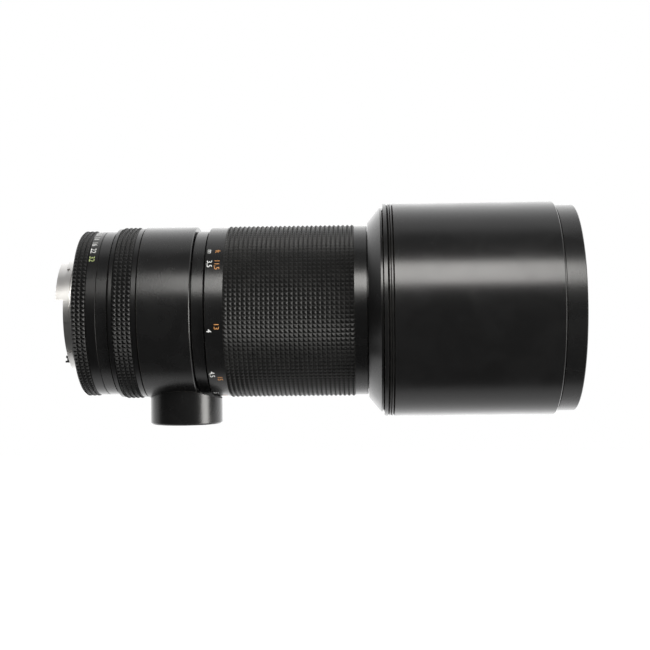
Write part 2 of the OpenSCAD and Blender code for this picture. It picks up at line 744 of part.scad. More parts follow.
// Stop-down lever: a ring inside the barrel, and the bar and headed pin behind the mount
module stop_down_lever() color("black") {
  ring_r1 = ring_bore_r - face_gap;
  bar_r1 = lever_bar_r0 + lever_bar_t;
  ring(lever_x0, lever_x0 + lever_ring_t, ring_r1 - lever_ring_w, ring_r1);
  at_azimuth(lever_azimuth) {
    intersection() {
      ring(lever_bar_x0, lever_x0 + lever_ring_t, lever_bar_r0, bar_r1);
      translate([lever_bar_x0, -lever_bar_w / 2, 0])
        cube([lever_x0 + lever_ring_t - lever_bar_x0, lever_bar_w, bar_r1 + over]);
    }
    intersection() {
      ring(lever_x0, lever_x0 + lever_ring_t, lever_bar_r0, ring_r1 - lever_ring_w / 2);
      translate([lever_x0, -lever_bar_w / 2, 0]) cube([lever_ring_t, lever_bar_w, ring_r1]);
    }
    translate([lever_pin_x, 0, lever_bar_r0 + lever_bar_t / 2])
      cylinder(r = lever_pin_r, h = lever_bar_t / 2 + lever_stem_l);
    translate([lever_pin_x, 0, bar_r1 + lever_stem_l]) cylinder(r = lever_head_r, h = lever_head_t);
  }
}

// Knurled ring that clamps the tripod collar
module lock_ring() color("darkslategray") {
  base_r = lock_r + knurl_proud_h - knurl_depth;
  knurl_x1 = lock_x1 - lock_front_rim;
  knurl_x0 = knurl_x1 - lock_knurl_columns * knurl_w;
  rim_chamfer = lock_r - index_r;
  difference() {
    union() {
      knurled_drum(knurl_x0, lock_knurl_columns, base_r);
      turned([
        [lock_x0, 0], [lock_x1, 0], [lock_x1, lock_r - edge], [lock_x1 - edge, lock_r],
        [knurl_x1 + edge / 2, lock_r], [knurl_x1, base_r - edge], [knurl_x0, base_r - edge],
        [knurl_x0 - edge / 2, lock_r], [lock_x0 + rim_chamfer / 2, lock_r], [lock_x0, index_r]
      ]);
    }
    rod(lock_x0 - over, lock_x1 + over, collar_bore_r);
  }
}

// Rotating tripod collar, rounded at the rear and chamfered in front
module tripod_collar() color("dimgray")
  difference() {
    turned(concat(
      [[collar_x0, collar_bore_r], [collar_x1, collar_bore_r], [collar_x1, collar_r - edge],
       [collar_x1 - edge, collar_r]],
      [for (a = [90:-18:0])
        [collar_x0 + collar_round * (1 - cos(90 - a)), collar_r - collar_round * (1 - sin(a))]]
    ));
    foot_screw_holes();
  }

// Cylindrical foot, hollowed to sit on the collar and to clear the rings in front of it
module tripod_foot() color("dimgray")
  difference() {
    translate([foot_x, 0, 0]) rotate_extrude() polygon([
      [0, -foot_drop], [foot_r - foot_edge, -foot_drop], [foot_r, -foot_drop + foot_edge],
      [foot_r, -collar_r / 2], [0, -collar_r / 2]
    ]);
    rod(foot_x - foot_r - over, collar_x1, collar_r);
    rod(collar_x1, foot_x + foot_r + over, collar_r + foot_relief);
    foot_screw_holes();
    translate([foot_x, 0, -foot_drop - over]) cylinder(r = bush_r, h = bush_l + over);
  }

module foot_screw_holes()
  for (x = foot_screw_xs, y = [-foot_screw_y, foot_screw_y]) {
    translate([x, y, foot_screw_top - foot_screw_head_l])
      cylinder(r = foot_screw_head_r, h = foot_screw_head_l + collar_bore_r / 4);
    translate([x, y, foot_screw_top - foot_screw_l]) cylinder(r = foot_screw_r, h = foot_screw_l);
  }

// Height of the tops of the foot screws, sunk under the collar's bore
foot_screw_top = -sqrt(collar_bore_r * collar_bore_r
  - (foot_screw_y - foot_screw_head_r) * (foot_screw_y - foot_screw_head_r)) - foot_screw_inset / 2;

// Screws from inside the collar into the foot
module foot_screws() color("silver")
  for (x = foot_screw_xs, y = [-foot_screw_y, foot_screw_y])
    difference() {
      union() {
        translate([x, y, foot_screw_top - foot_screw_head_l])
          cylinder(r = foot_screw_head_r, h = foot_screw_head_l);
        translate([x, y, foot_screw_top - foot_screw_l]) cylinder(r = foot_screw_r, h = foot_screw_l);
      }
      translate([x, y, foot_screw_top - foot_screw_head_l / 2])
        cylinder(r = foot_screw_head_r / 2, h = foot_screw_head_l, $fn = 6);
    }

// Steel bush with the tripod thread
module tripod_bush() color("silver")
  difference() {
    translate([foot_x, 0, -foot_drop]) cylinder(r = bush_r, h = bush_l);
    translate([foot_x, 0, -foot_drop - over]) cylinder(r = tripod_thread_r, h = tripod_thread_l + over);
  }

// Focusing ring with the scale band, the grip's groove and the arc slot of the stop
module focus_ring() color("dimgray")
  difference() {
    turned([
      [focus_x0, guide_r + running], [focus_x0 + focus_lip_t, guide_r + running],
      [focus_x0 + focus_lip_t, focus_bore_r], [focus_x1, focus_bore_r],
      [focus_x1, focus_r - edge], [focus_x1 - edge, focus_r],
      [grip_x0 + grip_l, focus_r], [grip_x0 + grip_l, focus_r - grip_seat_depth],
      [grip_x0, focus_r - grip_seat_depth], [grip_x0, focus_r],
      [focus_x0 + scale_chamfer / 2, focus_r], [focus_x0, focus_r - scale_chamfer]
    ]);
    sector(focus_x0 - over, focus_x0 + stop_pin_reach + face_gap,
      stop_pin_circle_r - stop_pin_r - face_gap, stop_pin_circle_r + stop_pin_r + face_gap,
      stop_pin_azimuth - focus_turn - stop_slot_slack, stop_pin_azimuth + stop_slot_slack);
  }

// Ribbed grip in the groove of the focusing ring
module focus_grip() color("black") {
  base_r = focus_r + knurl_proud_h - knurl_depth;
  turned(concat(
    [[grip_x0 + grip_l, focus_r - grip_seat_depth], [grip_x0, focus_r - grip_seat_depth]],
    [for (i = [0:grip_columns - 1], half = [0, 0.5])
      [grip_x0 + (i + half) * grip_pitch, base_r + 2 * half * knurl_depth]],
    [[grip_x0 + grip_l, base_r]]
  ));
}

// Front barrel: cone, land and the tube that the hood slides on
module front_barrel() color("dimgray")
  difference() {
    turned([
      [cone_x0, helicoid_r], [web_x1, helicoid_r], [web_x1, unit_flange_r + free_gap],
      [flange_b_x1 + front_step, front_bore_r - front_step], [cell_x0, front_bore_r - front_step],
      [cell_x0, front_bore_r], [filter_x0, front_bore_r], [filter_x0, front_tube_r],
      [land_x1 + hood_seam, front_tube_r], [land_x1 + hood_seam / 2, front_tube_r - stop_groove_depth],
      [land_x1, front_tube_r], [land_x1, cone_r1], [cone_x1, cone_r1], [cone_x0, cone_r0]
    ]);
    unit_screw_holes();
  }

function unit_screw_azimuth(i) = 30 + i * 360 / unit_screw_count;

module unit_screw_holes()
  for (i = [0:unit_screw_count - 1])
    offset_rod(flange_b_x1 - unit_screw_l, flange_b_x1 + over, unit_screw_r, unit_screw_circle_r,
      unit_screw_azimuth(i));

// Screws that join the front barrel, the helicoid tube and the inner tube
module barrel_screws() color("silver")
  for (i = [0:unit_screw_count - 1]) {
    offset_rod(flange_b_x1 - unit_screw_l, flange_b_x1, unit_screw_r, unit_screw_circle_r, unit_screw_azimuth(i));
    offset_rod(flange_b_x1, flange_b_x1 + unit_screw_head_l, unit_screw_head_r, unit_screw_circle_r,
      unit_screw_azimuth(i));
  }

// Moving helicoid tube, between the guide tube and the focusing ring
module helicoid_tube() color("burlywood")
  difference() {
    turned([
      [helicoid_x0, helicoid_bore_r], [flange_a_x1, helicoid_bore_r], [flange_a_x1, unit_flange_r],
      [web_x1, unit_flange_r], [web_x1, helicoid_r], [helicoid_x0, helicoid_r]
    ]);
    unit_screw_holes();
  }

// Keys on the helicoid tube that slide in the slots of the guide tube
module guide_keys() color("goldenrod")
  for (i = [0:key_count - 1])
    intersection() {
      ring(key_x0, key_x0 + key_l, barrel_bore_r + free_gap, helicoid_bore_r);
      at_azimuth(key_azimuth + i * 360 / key_count)
        translate([key_x0 - over, -key_w / 2, 0]) cube([key_l + 2 * over, key_w, helicoid_bore_r]);
    }

// Inner tube with its light baffles, which carries the rear cell and the iris
module inner_tube() color("black")
  difference() {
    union() {
      ring(inner_x0, flange_b_x1, inner_bore_r, inner_tube_r);
      ring(flange_a_x1, flange_b_x1, inner_bore_r, unit_flange_r);
      for (i = [0:tube_baffles - 1])
        ring(iris_x1 + i * tube_baffle_pitch, iris_x1 + i * tube_baffle_pitch + tube_baffle_t,
          tube_baffle_r0 + i * tube_baffle_growth, inner_bore_r + inner_tube_wall / 2);
    }
    unit_screw_holes();
    follower_window();
  }

// Arc window through which the iris follower reaches the fork bar
module follower_window()
  sector(drive_x0 - free_gap / 2, drive_x0 + drive_t + free_gap / 2, drive_r1 - over, inner_tube_r + over,
    fork_azimuth - aperture_turn - follower_half, fork_azimuth + follower_half);

// Cell of the three front elements
module front_cell() color("black")
  turned([
    [cell_x0, cell_lip_r], [third_x0, cell_lip_r], [third_x0, third_glass_r],
    [second_x0, third_glass_r], [second_x0, second_glass_r], [front_seat_x, second_glass_r],
    [front_seat_x, front_glass_r], [trim_x0, front_glass_r], [trim_x0, front_bore_r], [cell_x0, front_bore_r]
  ]);

// Front element, bulging on both faces
module front_element() color("lightsteelblue", 0.4)
  element(front_x0, front_glass_r, front_edge, front_curves);

// Second element, a meniscus that bulges forward
module second_element() color("lightsteelblue", 0.4)
  element(second_x0, second_glass_r, second_edge, second_curves);

// Third element, hollow on both faces
module third_element() color("lightsteelblue", 0.4)
  element(third_x0, third_glass_r, third_edge, third_curves);

// Spacer between the front and second elements
module front_spacer() color("black")
  ring(front_spacer_x0, front_spacer_x1, front_spacer_r0, second_glass_r);

// Spacer between the second and third elements
module middle_spacer() color("black")
  ring(third_x0 + third_edge, second_x0, third_glass_r - lens_lip, third_glass_r);

// Threaded ring that holds the front element in its cell
module front_retainer() color("black")
  ring(front_retainer_x0, trim_x0, front_glass_r - lens_lip, front_glass_r);

// Trim ring in front of the cell, with stepped ribs that trap stray light
module trim_ring() color("black") {
  rib_l = (trim_x1 - trim_x0) / trim_ribs;
  rib_growth = (spigot_r0 - trim_rib_depth - trim_r0) / trim_ribs;
  turned(concat(
    [[trim_x0, front_bore_r], [filter_x0 - spigot_l, front_bore_r], [filter_x0 - spigot_l, spigot_r0],
     [trim_x1, spigot_r0]],
    [for (i = [trim_ribs - 1:-1:0], front = [1, 0])
      [trim_x0 + (i + front) * rib_l, trim_r0 + i * rib_growth + front * trim_rib_depth]]
  ));
}

// Filter ring with its thread, screwed into the front barrel
module filter_ring() color("dimgray")
  turned([
    [filter_x0 - spigot_l, spigot_r0], [trim_x1, spigot_r0], [trim_x1, filter_thread_r],
    [filter_x1, filter_thread_r], [filter_x1, filter_ring_r - edge], [filter_x1 - edge, filter_ring_r],
    [filter_x0 + edge / 2, filter_ring_r], [filter_x0, filter_ring_r - edge / 2],
    [filter_x0, front_bore_r], [filter_x0 - spigot_l, front_bore_r]
  ]);

// Cell of the two rear elements, carried by its flange in the inner tube
module rear_cell() color("black") {
  x1 = fourth_x1 + rear_cell_lip_t;
  turned([
    [rear_cell_x0, rear_glass_r], [fourth_x1, rear_glass_r], [fourth_x1, rear_glass_r - rear_lip],
    [x1, rear_glass_r - rear_lip], [x1, rear_cell_r], [rear_flange_x0 + rear_flange_t, rear_cell_r],
    [rear_flange_x0 + rear_flange_t, inner_bore_r], [rear_flange_x0, inner_bore_r],
    [rear_flange_x0, rear_cell_r], [rear_cell_x0, rear_cell_r]
  ]);
}

// Fourth element, hollow on both faces
module fourth_element() color("lightsteelblue", 0.4)
  element(fourth_x0, rear_glass_r, fourth_edge, fourth_curves);

// Rear element, bulging backwards
module rear_element() color("lightsteelblue", 0.4)
  element(rear_x0, rear_glass_r, rear_edge, rear_curves);

// Spacer between the two rear elements
module rear_spacer() color("black") ring(rear_x1, fourth_x0, rear_glass_r - rear_lip, rear_glass_r);

// Threaded ring behind the rear element
module rear_retainer() color("black")
  ring(rear_retainer_x1 - rear_retainer_l, rear_retainer_x1, rear_glass_r - rear_lip, rear_glass_r);

// Pivot of a blade, as an azimuth
function blade_azimuth(i) = i * 360 / blade_count;

// Housing of the iris: rear plate with the pivot holes, and the wall with the follower's window
module iris_housing() color("dimgray")
  difference() {
    turned([
      [iris_x0, iris_open_r + iris_port_gap], [iris_x0 + iris_plate_t, iris_open_r + iris_port_gap],
      [iris_x0 + iris_plate_t, iris_bore_r], [iris_x1, iris_bore_r], [iris_x1, inner_bore_r],
      [iris_x0, inner_bore_r]
    ]);
    for (i = [0:blade_count - 1])
      offset_rod(iris_x0 + iris_plate_t / 4, iris_x0 + iris_plate_t + over, blade_pin_r + running,
        pivot_circle_r, blade_azimuth(i));
    follower_window();
  }

// Ring that closes the iris in front
module iris_cover() color("dimgray") ring(cover_x0, iris_x1, drive_r0, iris_bore_r);

// A point turned about the axis of a flat drawing
function spun(p, a) = [p[0] * cos(a) - p[1] * sin(a), p[0] * sin(a) + p[1] * cos(a)];

// Place of a blade's drive pin, in the drive ring's own frame, when the blade has turned by a share of its travel
function pin_on_ring(share) = spun(
  [pivot_circle_r, 0] + spun([0, drive_arm_l], share * blade_turn), share * aperture_turn);

// Unit vector square to the pin's path
function path_side(share) =
  let (step = 1 / (2 * slot_steps), d = pin_on_ring(share + step) - pin_on_ring(share - step))
  [-d[1], d[0]] / norm(d);

// Ring that turns all the blades, with one curved slot for each drive pin and the follower outside
module iris_drive_ring() color("goldenrod") {
  half = drive_pin_r + slot_clearance;
  shares = [for (i = [0:slot_steps]) i / slot_steps];
  difference() {
    ring(drive_x0, drive_x0 + drive_t, drive_r0, drive_r1);
    for (i = [0:blade_count - 1])
      along_axis() rotate([0, 0, blade_azimuth(i)]) translate([0, 0, drive_x0 - over]) {
        linear_extrude(height = drive_t + 2 * over) polygon(concat(
          [for (s = shares) pin_on_ring(s) + half * path_side(s)],
          [for (s = [for (k = [slot_steps:-1:0]) k / slot_steps]) pin_on_ring(s) - half * path_side(s)]
        ));
        for (s = [0, 1]) translate(pin_on_ring(s)) cylinder(r = half, h = drive_t + 2 * over);
      }
  }
  intersection() {
    ring(drive_x0, drive_x0 + drive_t, drive_r1 - prong_w / 4, fork_r1);
    at_azimuth(fork_azimuth) for (side = [-1, 1])
      translate([drive_x0 - over, side * (fork_bar_w / 2 + prong_gap + prong_w / 2) - prong_w / 2, 0])
        cube([drive_t + 2 * over, prong_w, fork_r1 + over]);
  }
}

// Point at a radius and an angle of a flat drawing
function polar(r, a) = [r * cos(a), r * sin(a)];

// Points along an arc from angle a to angle b about a centre
function arc(centre, r, a, b, steps) = [for (k = [0:steps]) centre + polar(r, a + (b - a) * k / steps)];

// Outline of a blade: inner edge, round tip, outer edge and the tab round its two pins
function blade_outline() =
  let (outer_r = iris_open_r + blade_w, tip = polar(iris_open_r + blade_w / 2, blade_end),
    tab_angle = asin((drive_arm_l + blade_pad_r) / outer_r), heel_angle = -asin(blade_pad_r / outer_r))
  concat(
    arc([0, 0], iris_open_r, blade_start, blade_end, blade_steps),
    [for (k = [1:pad_steps - 1]) tip + polar(blade_w / 2, blade_end + 180 * (1 - k / pad_steps))],
    arc([0, 0], outer_r, blade_end, tab_angle, blade_steps),
    arc([pivot_circle_r, drive_arm_l], blade_pad_r, 90, 0, pad_steps),
    arc([pivot_circle_r, 0], blade_pad_r, 0, -90, pad_steps),
    arc([0, 0], outer_r, heel_angle, blade_start, 1)
  );

// Blade with its pivot pin behind and its drive pin in front, in the open position
module iris_blade(i) color("slategray") {
  x0 = blade_x0 + i * blade_level;
  along_axis() rotate([0, 0, blade_azimuth(i)]) {
    translate([0, 0, x0]) linear_extrude(height = blade_t) polygon(blade_outline());
    translate([pivot_circle_r, 0, iris_x0 + iris_plate_t / 2])
      cylinder(r = blade_pin_r, h = x0 + blade_t / 2 - iris_x0 - iris_plate_t / 2);
    translate([pivot_circle_r, drive_arm_l, x0 + blade_t / 2])
      cylinder(r = drive_pin_r, h = drive_x0 + drive_t - x0 - blade_t / 2);
  }
}

// Sliding hood with its grip grooves and the guide band inside its rear end
module hood() color("dimgray")
  turned(concat(
    [[hood_x0, hood_lip_r], [hood_x0 + hood_lip_t, hood_lip_r], [hood_x0 + hood_lip_t, hood_bore_r],
     [hood_x0 + hood_band_l - hood_lip_t, hood_bore_r], [hood_x0 + hood_band_l - hood_lip_t, hood_lip_r],
     [hood_x0 + hood_band_l, hood_lip_r], [hood_x0 + hood_band_l, hood_bore_r],
     [hood_x1, hood_bore_r], [hood_x1, hood_r - edge], [hood_x1 - edge, hood_r]],
    [for (g = [hood_grooves[2], hood_grooves[1], hood_grooves[0]], p = [[1, 0], [0.5, 1], [0, 0]])
      [hood_x0 + g[0] + p[0] * g[1], hood_r - p[1] * hood_groove_depth]],
    [[hood_x0, hood_r]]
  ));

// Felt that the hood slides on
module hood_felt() color("black")
  ring(hood_x0 + hood_lip_t, hood_x0 + hood_band_l - hood_lip_t, felt_r0, hood_bore_r);

bayonet_mount();
mount_screws();
rear_baffle();
main_barrel();
click_ball();
click_spring();
neck_ring();
neck_screws();
focus_retainer();
focus_stop_pin();
aperture_ring();
aperture_fork();
stop_down_lever();
lock_ring();
tripod_collar();
tripod_foot();
tripod_bush();
foot_screws();
focus_ring();
focus_grip();
front_barrel();
helicoid_tube();
guide_keys();
inner_tube();
barrel_screws();
front_cell();
front_element();
second_element();
third_element();
front_spacer();
middle_spacer();
front_retainer();
trim_ring();
filter_ring();
rear_cell();
fourth_element();
rear_element();
rear_spacer();
rear_retainer();
iris_housing();
iris_cover();
iris_drive_ring();
hood();
hood_felt();
for (i = [0:blade_count - 1])
  iris_blade(i);
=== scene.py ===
"""Looks of a 300 mm f/4 class telephoto lens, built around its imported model.

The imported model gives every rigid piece. This script gives each of them its finish, puts the full
knurl and smooth glass in place of the plain ones, and adds what is printed or threaded too finely
for the solids. All lengths are in metres. The optical axis is X, with the camera mount at 0 and
the glass in front.
"""
import functools
import logging
import math
from collections.abc import Iterable, Sequence
from dataclasses import dataclass, field
from enum import Enum

import bpy
from mathutils import Euler, Matrix, Vector


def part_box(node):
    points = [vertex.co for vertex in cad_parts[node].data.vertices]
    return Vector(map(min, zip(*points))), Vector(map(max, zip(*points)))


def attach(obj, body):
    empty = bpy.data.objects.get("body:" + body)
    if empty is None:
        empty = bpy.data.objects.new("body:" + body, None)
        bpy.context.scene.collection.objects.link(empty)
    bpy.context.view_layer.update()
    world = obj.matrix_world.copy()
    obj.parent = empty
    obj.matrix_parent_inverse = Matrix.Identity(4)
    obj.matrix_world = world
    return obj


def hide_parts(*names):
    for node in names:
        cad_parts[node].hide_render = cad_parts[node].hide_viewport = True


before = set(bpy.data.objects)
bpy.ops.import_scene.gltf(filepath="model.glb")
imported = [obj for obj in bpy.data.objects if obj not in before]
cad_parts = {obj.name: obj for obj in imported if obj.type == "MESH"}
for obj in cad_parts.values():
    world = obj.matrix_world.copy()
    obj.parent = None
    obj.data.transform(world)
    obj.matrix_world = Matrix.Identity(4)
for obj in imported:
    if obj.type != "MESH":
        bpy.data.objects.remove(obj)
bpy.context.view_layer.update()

LOG = logging.getLogger("telephoto_lens")
MM = 0.001
FULL_TURN = 2 * math.pi
WARM_WHITE = (1.0, 0.985, 0.955)

Point = tuple[float, float, float]
Colour = tuple[float, float, float, float]
Tree = bpy.types.ShaderNodeTree
Socket = bpy.types.NodeSocket
Value = Socket | float | tuple[float, ...]


def grey(level: float) -> Colour:
    """Returns a neutral colour of one level."""
    return (level, level, level, 1.0)


def brighter(colour: Colour, factor: float) -> Colour:
    """Returns a colour times a factor, up to white."""
    return tuple(min(1.0, factor * level) for level in colour[:3]) + (1.0,)


class Graph:
    """Places nodes in one node tree and joins them."""

    def __init__(self, tree: bpy.types.NodeTree) -> None:
        """Keeps the node tree to work in."""
        self.tree = tree

    @classmethod
    def fresh(cls, owner: bpy.types.Material | bpy.types.World) -> "Graph":
        """Starts the graph of a material or world.

        Args:
            owner: The material or world, which loses its nodes.

        Returns:
            The graph.
        """
        owner.use_nodes = True
        owner.node_tree.nodes.clear()
        return cls(owner.node_tree)

    def node(self, kind: str, inputs: dict[str | int, Value] | None = None,
             **settings: object) -> bpy.types.Node:
        """Adds one node.

        Args:
            kind: The node's type name.
            inputs: A socket, number or colour for each named or numbered input.
            settings: Properties of the node.

        Returns:
            The new node.
        """
        made = self.tree.nodes.new(kind)
        for name, setting in settings.items():
            setattr(made, name, setting)
        self.feed(made, inputs or {})
        return made

    def feed(self, node: bpy.types.Node, inputs: dict[str | int, Value]) -> None:
        """Gives a node's inputs their values.

        Args:
            node: The node.
            inputs: A socket, number or colour for each named or numbered input.
        """
        for key, value in inputs.items():
            if isinstance(value, Socket):
                self.tree.links.new(value, node.inputs[key])
            else:
                node.inputs[key].default_value = value

    def math(self, operation: str, *values: Value, clamp: bool = False) -> Socket:
        """Returns the result of one Math node over one to three values."""
        inputs = dict(enumerate(values))
        return self.node("ShaderNodeMath", inputs, operation=operation, use_clamp=clamp).outputs[0]

    def times(self, value: Value, factor: Value) -> Socket:
        """Returns a product."""
        return self.math("MULTIPLY", value, factor)

    def plus(self, base: Value, share: Value, value: Value, clamp: bool = False) -> Socket:
        """Returns a base plus a share of a value."""
        return self.math("MULTIPLY_ADD", value, share, base, clamp=clamp)

    def remap(self, value: Value, low: float, high: float, to_low: float = 0.0,
              to_high: float = 1.0) -> Socket:
        """Maps a value from one range smoothly to another and clamps it there."""
        ends = {0: value, 1: low, 2: high, 3: to_low, 4: to_high}
        return self.node("ShaderNodeMapRange", ends, interpolation_type="SMOOTHSTEP").outputs[0]

    def blend(self, factor: Value, low: Value, high: Value) -> Socket:
        """Mixes two colours."""
        return self.node("ShaderNodeMix", {0: factor, 6: low, 7: high}, data_type="RGBA").outputs[2]

    def point(self, what: str = "Object") -> Socket:
        """Returns the shaded point's place in the object's frame, or another of its vectors."""
        return self.node("ShaderNodeTexCoord").outputs[what]

    def noise(self, size: Value, **inputs: Value) -> Socket:
        """Returns a noise over the object's place, with grains of a real size."""
        inputs |= {"Vector": self.point(), "Scale": self.math("DIVIDE", 1.0, size)}
        return self.node("ShaderNodeTexNoise", inputs).outputs["Fac"]

    def group(self, tree: Tree, **inputs: Value) -> dict[str, Socket]:
        """Places a node group with its own input values, and returns its outputs by name."""
        outputs = self.node("ShaderNodeGroup", inputs, node_tree=tree).outputs
        return {socket.name: socket for socket in outputs}


class GroupGraph(Graph):
    """The graph of a shader node group whose sockets are all numbers."""

    def __init__(self, name: str, inputs: dict[str, float], *outputs: str) -> None:
        """Starts the group.

        Args:
            name: The group's name.
            inputs: Each input's name and default value.
            outputs: The outputs' names.
        """
        super().__init__(bpy.data.node_groups.new(name, "ShaderNodeTree"))
        new_socket = functools.partial(self.tree.interface.new_socket,
                                       socket_type="NodeSocketFloat")
        for title, value in inputs.items():
            new_socket(title, in_out="INPUT").default_value = value
        for title in outputs:
            new_socket(title, in_out="OUTPUT")
        self.entry = self.node("NodeGroupInput").outputs
        self.exit = self.node("NodeGroupOutput")

    def close(self, *values: Socket) -> Tree:
        """Feeds the group's outputs in order, and returns the group."""
        self.feed(self.exit, dict(enumerate(values)))
        return self.tree


@functools.cache
def axis_place() -> Tree:
    """Builds the group that gives a point's place along the axis, its radius and its turn.

    Returns:
        The group.
    """
    graph = GroupGraph("axis_place", {}, "Along", "Radius", "Turn")
    x, y, z = graph.node("ShaderNodeSeparateXYZ", {0: graph.point()}).outputs
    radius = graph.math("SQRT", graph.plus(graph.times(y, y), z, z))
    return graph.close(x, radius, graph.math("ARCTAN2", y, z))


@functools.cache
def outward_turn() -> Tree:
    """Builds the group that says how far a surface faces away from the axis.

    Returns:
        The group, whose output goes from -1 inside a bore to 1.
    """
    graph = GroupGraph("outward_turn", {}, "Outward")
    across = graph.node("ShaderNodeVectorMath", {0: graph.point(), 1: (0.0, 1.0, 1.0)},
                        operation="MULTIPLY").outputs[0]
    radial = graph.node("ShaderNodeVectorMath", {0: across}, operation="NORMALIZE").outputs[0]
    facing = graph.node("ShaderNodeVectorMath", {0: graph.point("Normal"), 1: radial},
                        operation="DOT_PRODUCT")
    return graph.close(facing.outputs["Value"])


@functools.cache
def lathe_marks() -> Tree:
    """Builds the group of fine grooves that a turning tool leaves round the axis.

    Returns:
        The group.
    """
    graph = GroupGraph("lathe_marks", {"Spacing": 0.1 * MM, "Waver": 0.6}, "Height")
    place = graph.group(axis_place())
    along = graph.math("DIVIDE", place["Along"], graph.entry["Spacing"])
    across = graph.math("DIVIDE", place["Radius"], graph.entry["Spacing"])
    turn = graph.times(place["Turn"], graph.entry["Waver"])
    where = graph.node("ShaderNodeCombineXYZ", {0: along, 1: across, 2: turn}).outputs[0]
    noise = graph.node("ShaderNodeTexNoise", {"Vector": where, "Scale": 1.0, "Detail": 2.0})
    return graph.close(noise.outputs["Fac"])


@functools.cache
def surface_grain() -> Tree:
    """Builds the group of the fine even grain of a blasted, moulded or anodised surface.

    Returns:
        The group.
    """
    graph = GroupGraph("surface_grain", {"Size": 0.1 * MM, "Roughness": 0.6}, "Height")
    size, roughness = graph.entry["Size"], graph.entry["Roughness"]
    return graph.close(graph.noise(size, Detail=3.0, Roughness=roughness))


@functools.cache
def handling_marks() -> Tree:
    """Builds the group of soft patches that handling leaves, as a mask from 0 to 1.

    Returns:
        The group.
    """
    graph = GroupGraph("handling_marks", {"Size": 12 * MM}, "Mask")
    noise = graph.noise(graph.entry["Size"], Detail=4.0, Distortion=0.8)
    return graph.close(graph.remap(noise, 0.38, 0.66))


@functools.cache
def edge_wear() -> Tree:
    """Builds the group that finds worn edges, where the surface turns within a small radius.

    Returns:
        The group.
    """
    graph = GroupGraph("edge_wear", {"Width": 0.15 * MM, "Patchiness": 0.5}, "Mask")
    rounded = graph.node("ShaderNodeBevel", {"Radius": graph.entry["Width"]}, samples=6).outputs[0]
    true = graph.node("ShaderNodeNewGeometry").outputs["True Normal"]
    same = graph.node("ShaderNodeVectorMath", {0: rounded, 1: true}, operation="DOT_PRODUCT")
    bent = graph.remap(same.outputs["Value"], 0.995, 0.9)
    patches = graph.group(handling_marks(), Size=3 * MM)["Mask"]
    worn = graph.plus(1.0, graph.entry["Patchiness"], graph.math("SUBTRACT", patches, 1.0))
    return graph.close(graph.math("MULTIPLY", bent, worn, clamp=True))


@functools.cache
def settled_dust() -> Tree:
    """Builds the group of sparse dust specks on surfaces that face upwards.

    Returns:
        The group.
    """
    graph = GroupGraph("settled_dust", {"Spacing": 1.6 * MM, "Speck": 0.045}, "Mask")
    scale = graph.math("DIVIDE", 1.0, graph.entry["Spacing"])
    cells = graph.node("ShaderNodeTexVoronoi", {"Vector": graph.point(), "Scale": scale})
    near = graph.math("LESS_THAN", cells.outputs["Distance"], graph.entry["Speck"])
    up = graph.node("ShaderNodeSeparateXYZ", {0: graph.point("Normal")}).outputs[2]
    return graph.close(graph.times(near, graph.remap(up, -0.1, 0.8)))


class MaterialGraph(Graph):
    """The graph of a finish's material, with its shader."""

    def __init__(self, tree: bpy.types.NodeTree) -> None:
        """Keeps the node tree and places the shader in it."""
        super().__init__(tree)
        self.shader = self.node("ShaderNodeBsdfPrincipled")

    def shade(self, base: Value, rough: Value, **inputs: Value) -> None:
        """Feeds the shader's colour, roughness and other inputs, with underscores for spaces."""
        others = {name.replace("_", " "): value for name, value in inputs.items()}
        self.feed(self.shader, {"Base Color": base, "Roughness": rough, **others})

    def relief(self, height: Socket, depth: float) -> None:
        """Raises the surface by a height map of a real depth."""
        bump = self.node("ShaderNodeBump", {"Height": height, "Distance": depth})
        self.feed(self.shader, {"Normal": bump.outputs[0]})


@dataclass(frozen=True)
class Finish:
    """One finish. A subclass wires its colour, gloss and relief into the material's own shader.

    Attributes:
        name: The material's name.
        colour: The colour of the clean surface.
        rough: The roughness of the clean surface.
    """

    name: str
    colour: Colour
    rough: float

    @functools.cache
    def material(self) -> bpy.types.Material:
        """Builds the finish's material, the first time that it is asked for.

        Returns:
            The material.
        """
        made = bpy.data.materials.new(self.name)
        graph = MaterialGraph.fresh(made)
        graph.shade(self.colour, self.rough)
        self.wire(graph)
        graph.node("ShaderNodeOutputMaterial", {"Surface": self.surface(graph)})
        return made

    def wire(self, graph: MaterialGraph) -> None:
        """Joins the finish's nodes to the graph's shader."""
        raise NotImplementedError

    def surface(self, graph: MaterialGraph) -> Socket:
        """Returns what the material shows, which is the shader by itself."""
        return graph.shader.outputs[0]


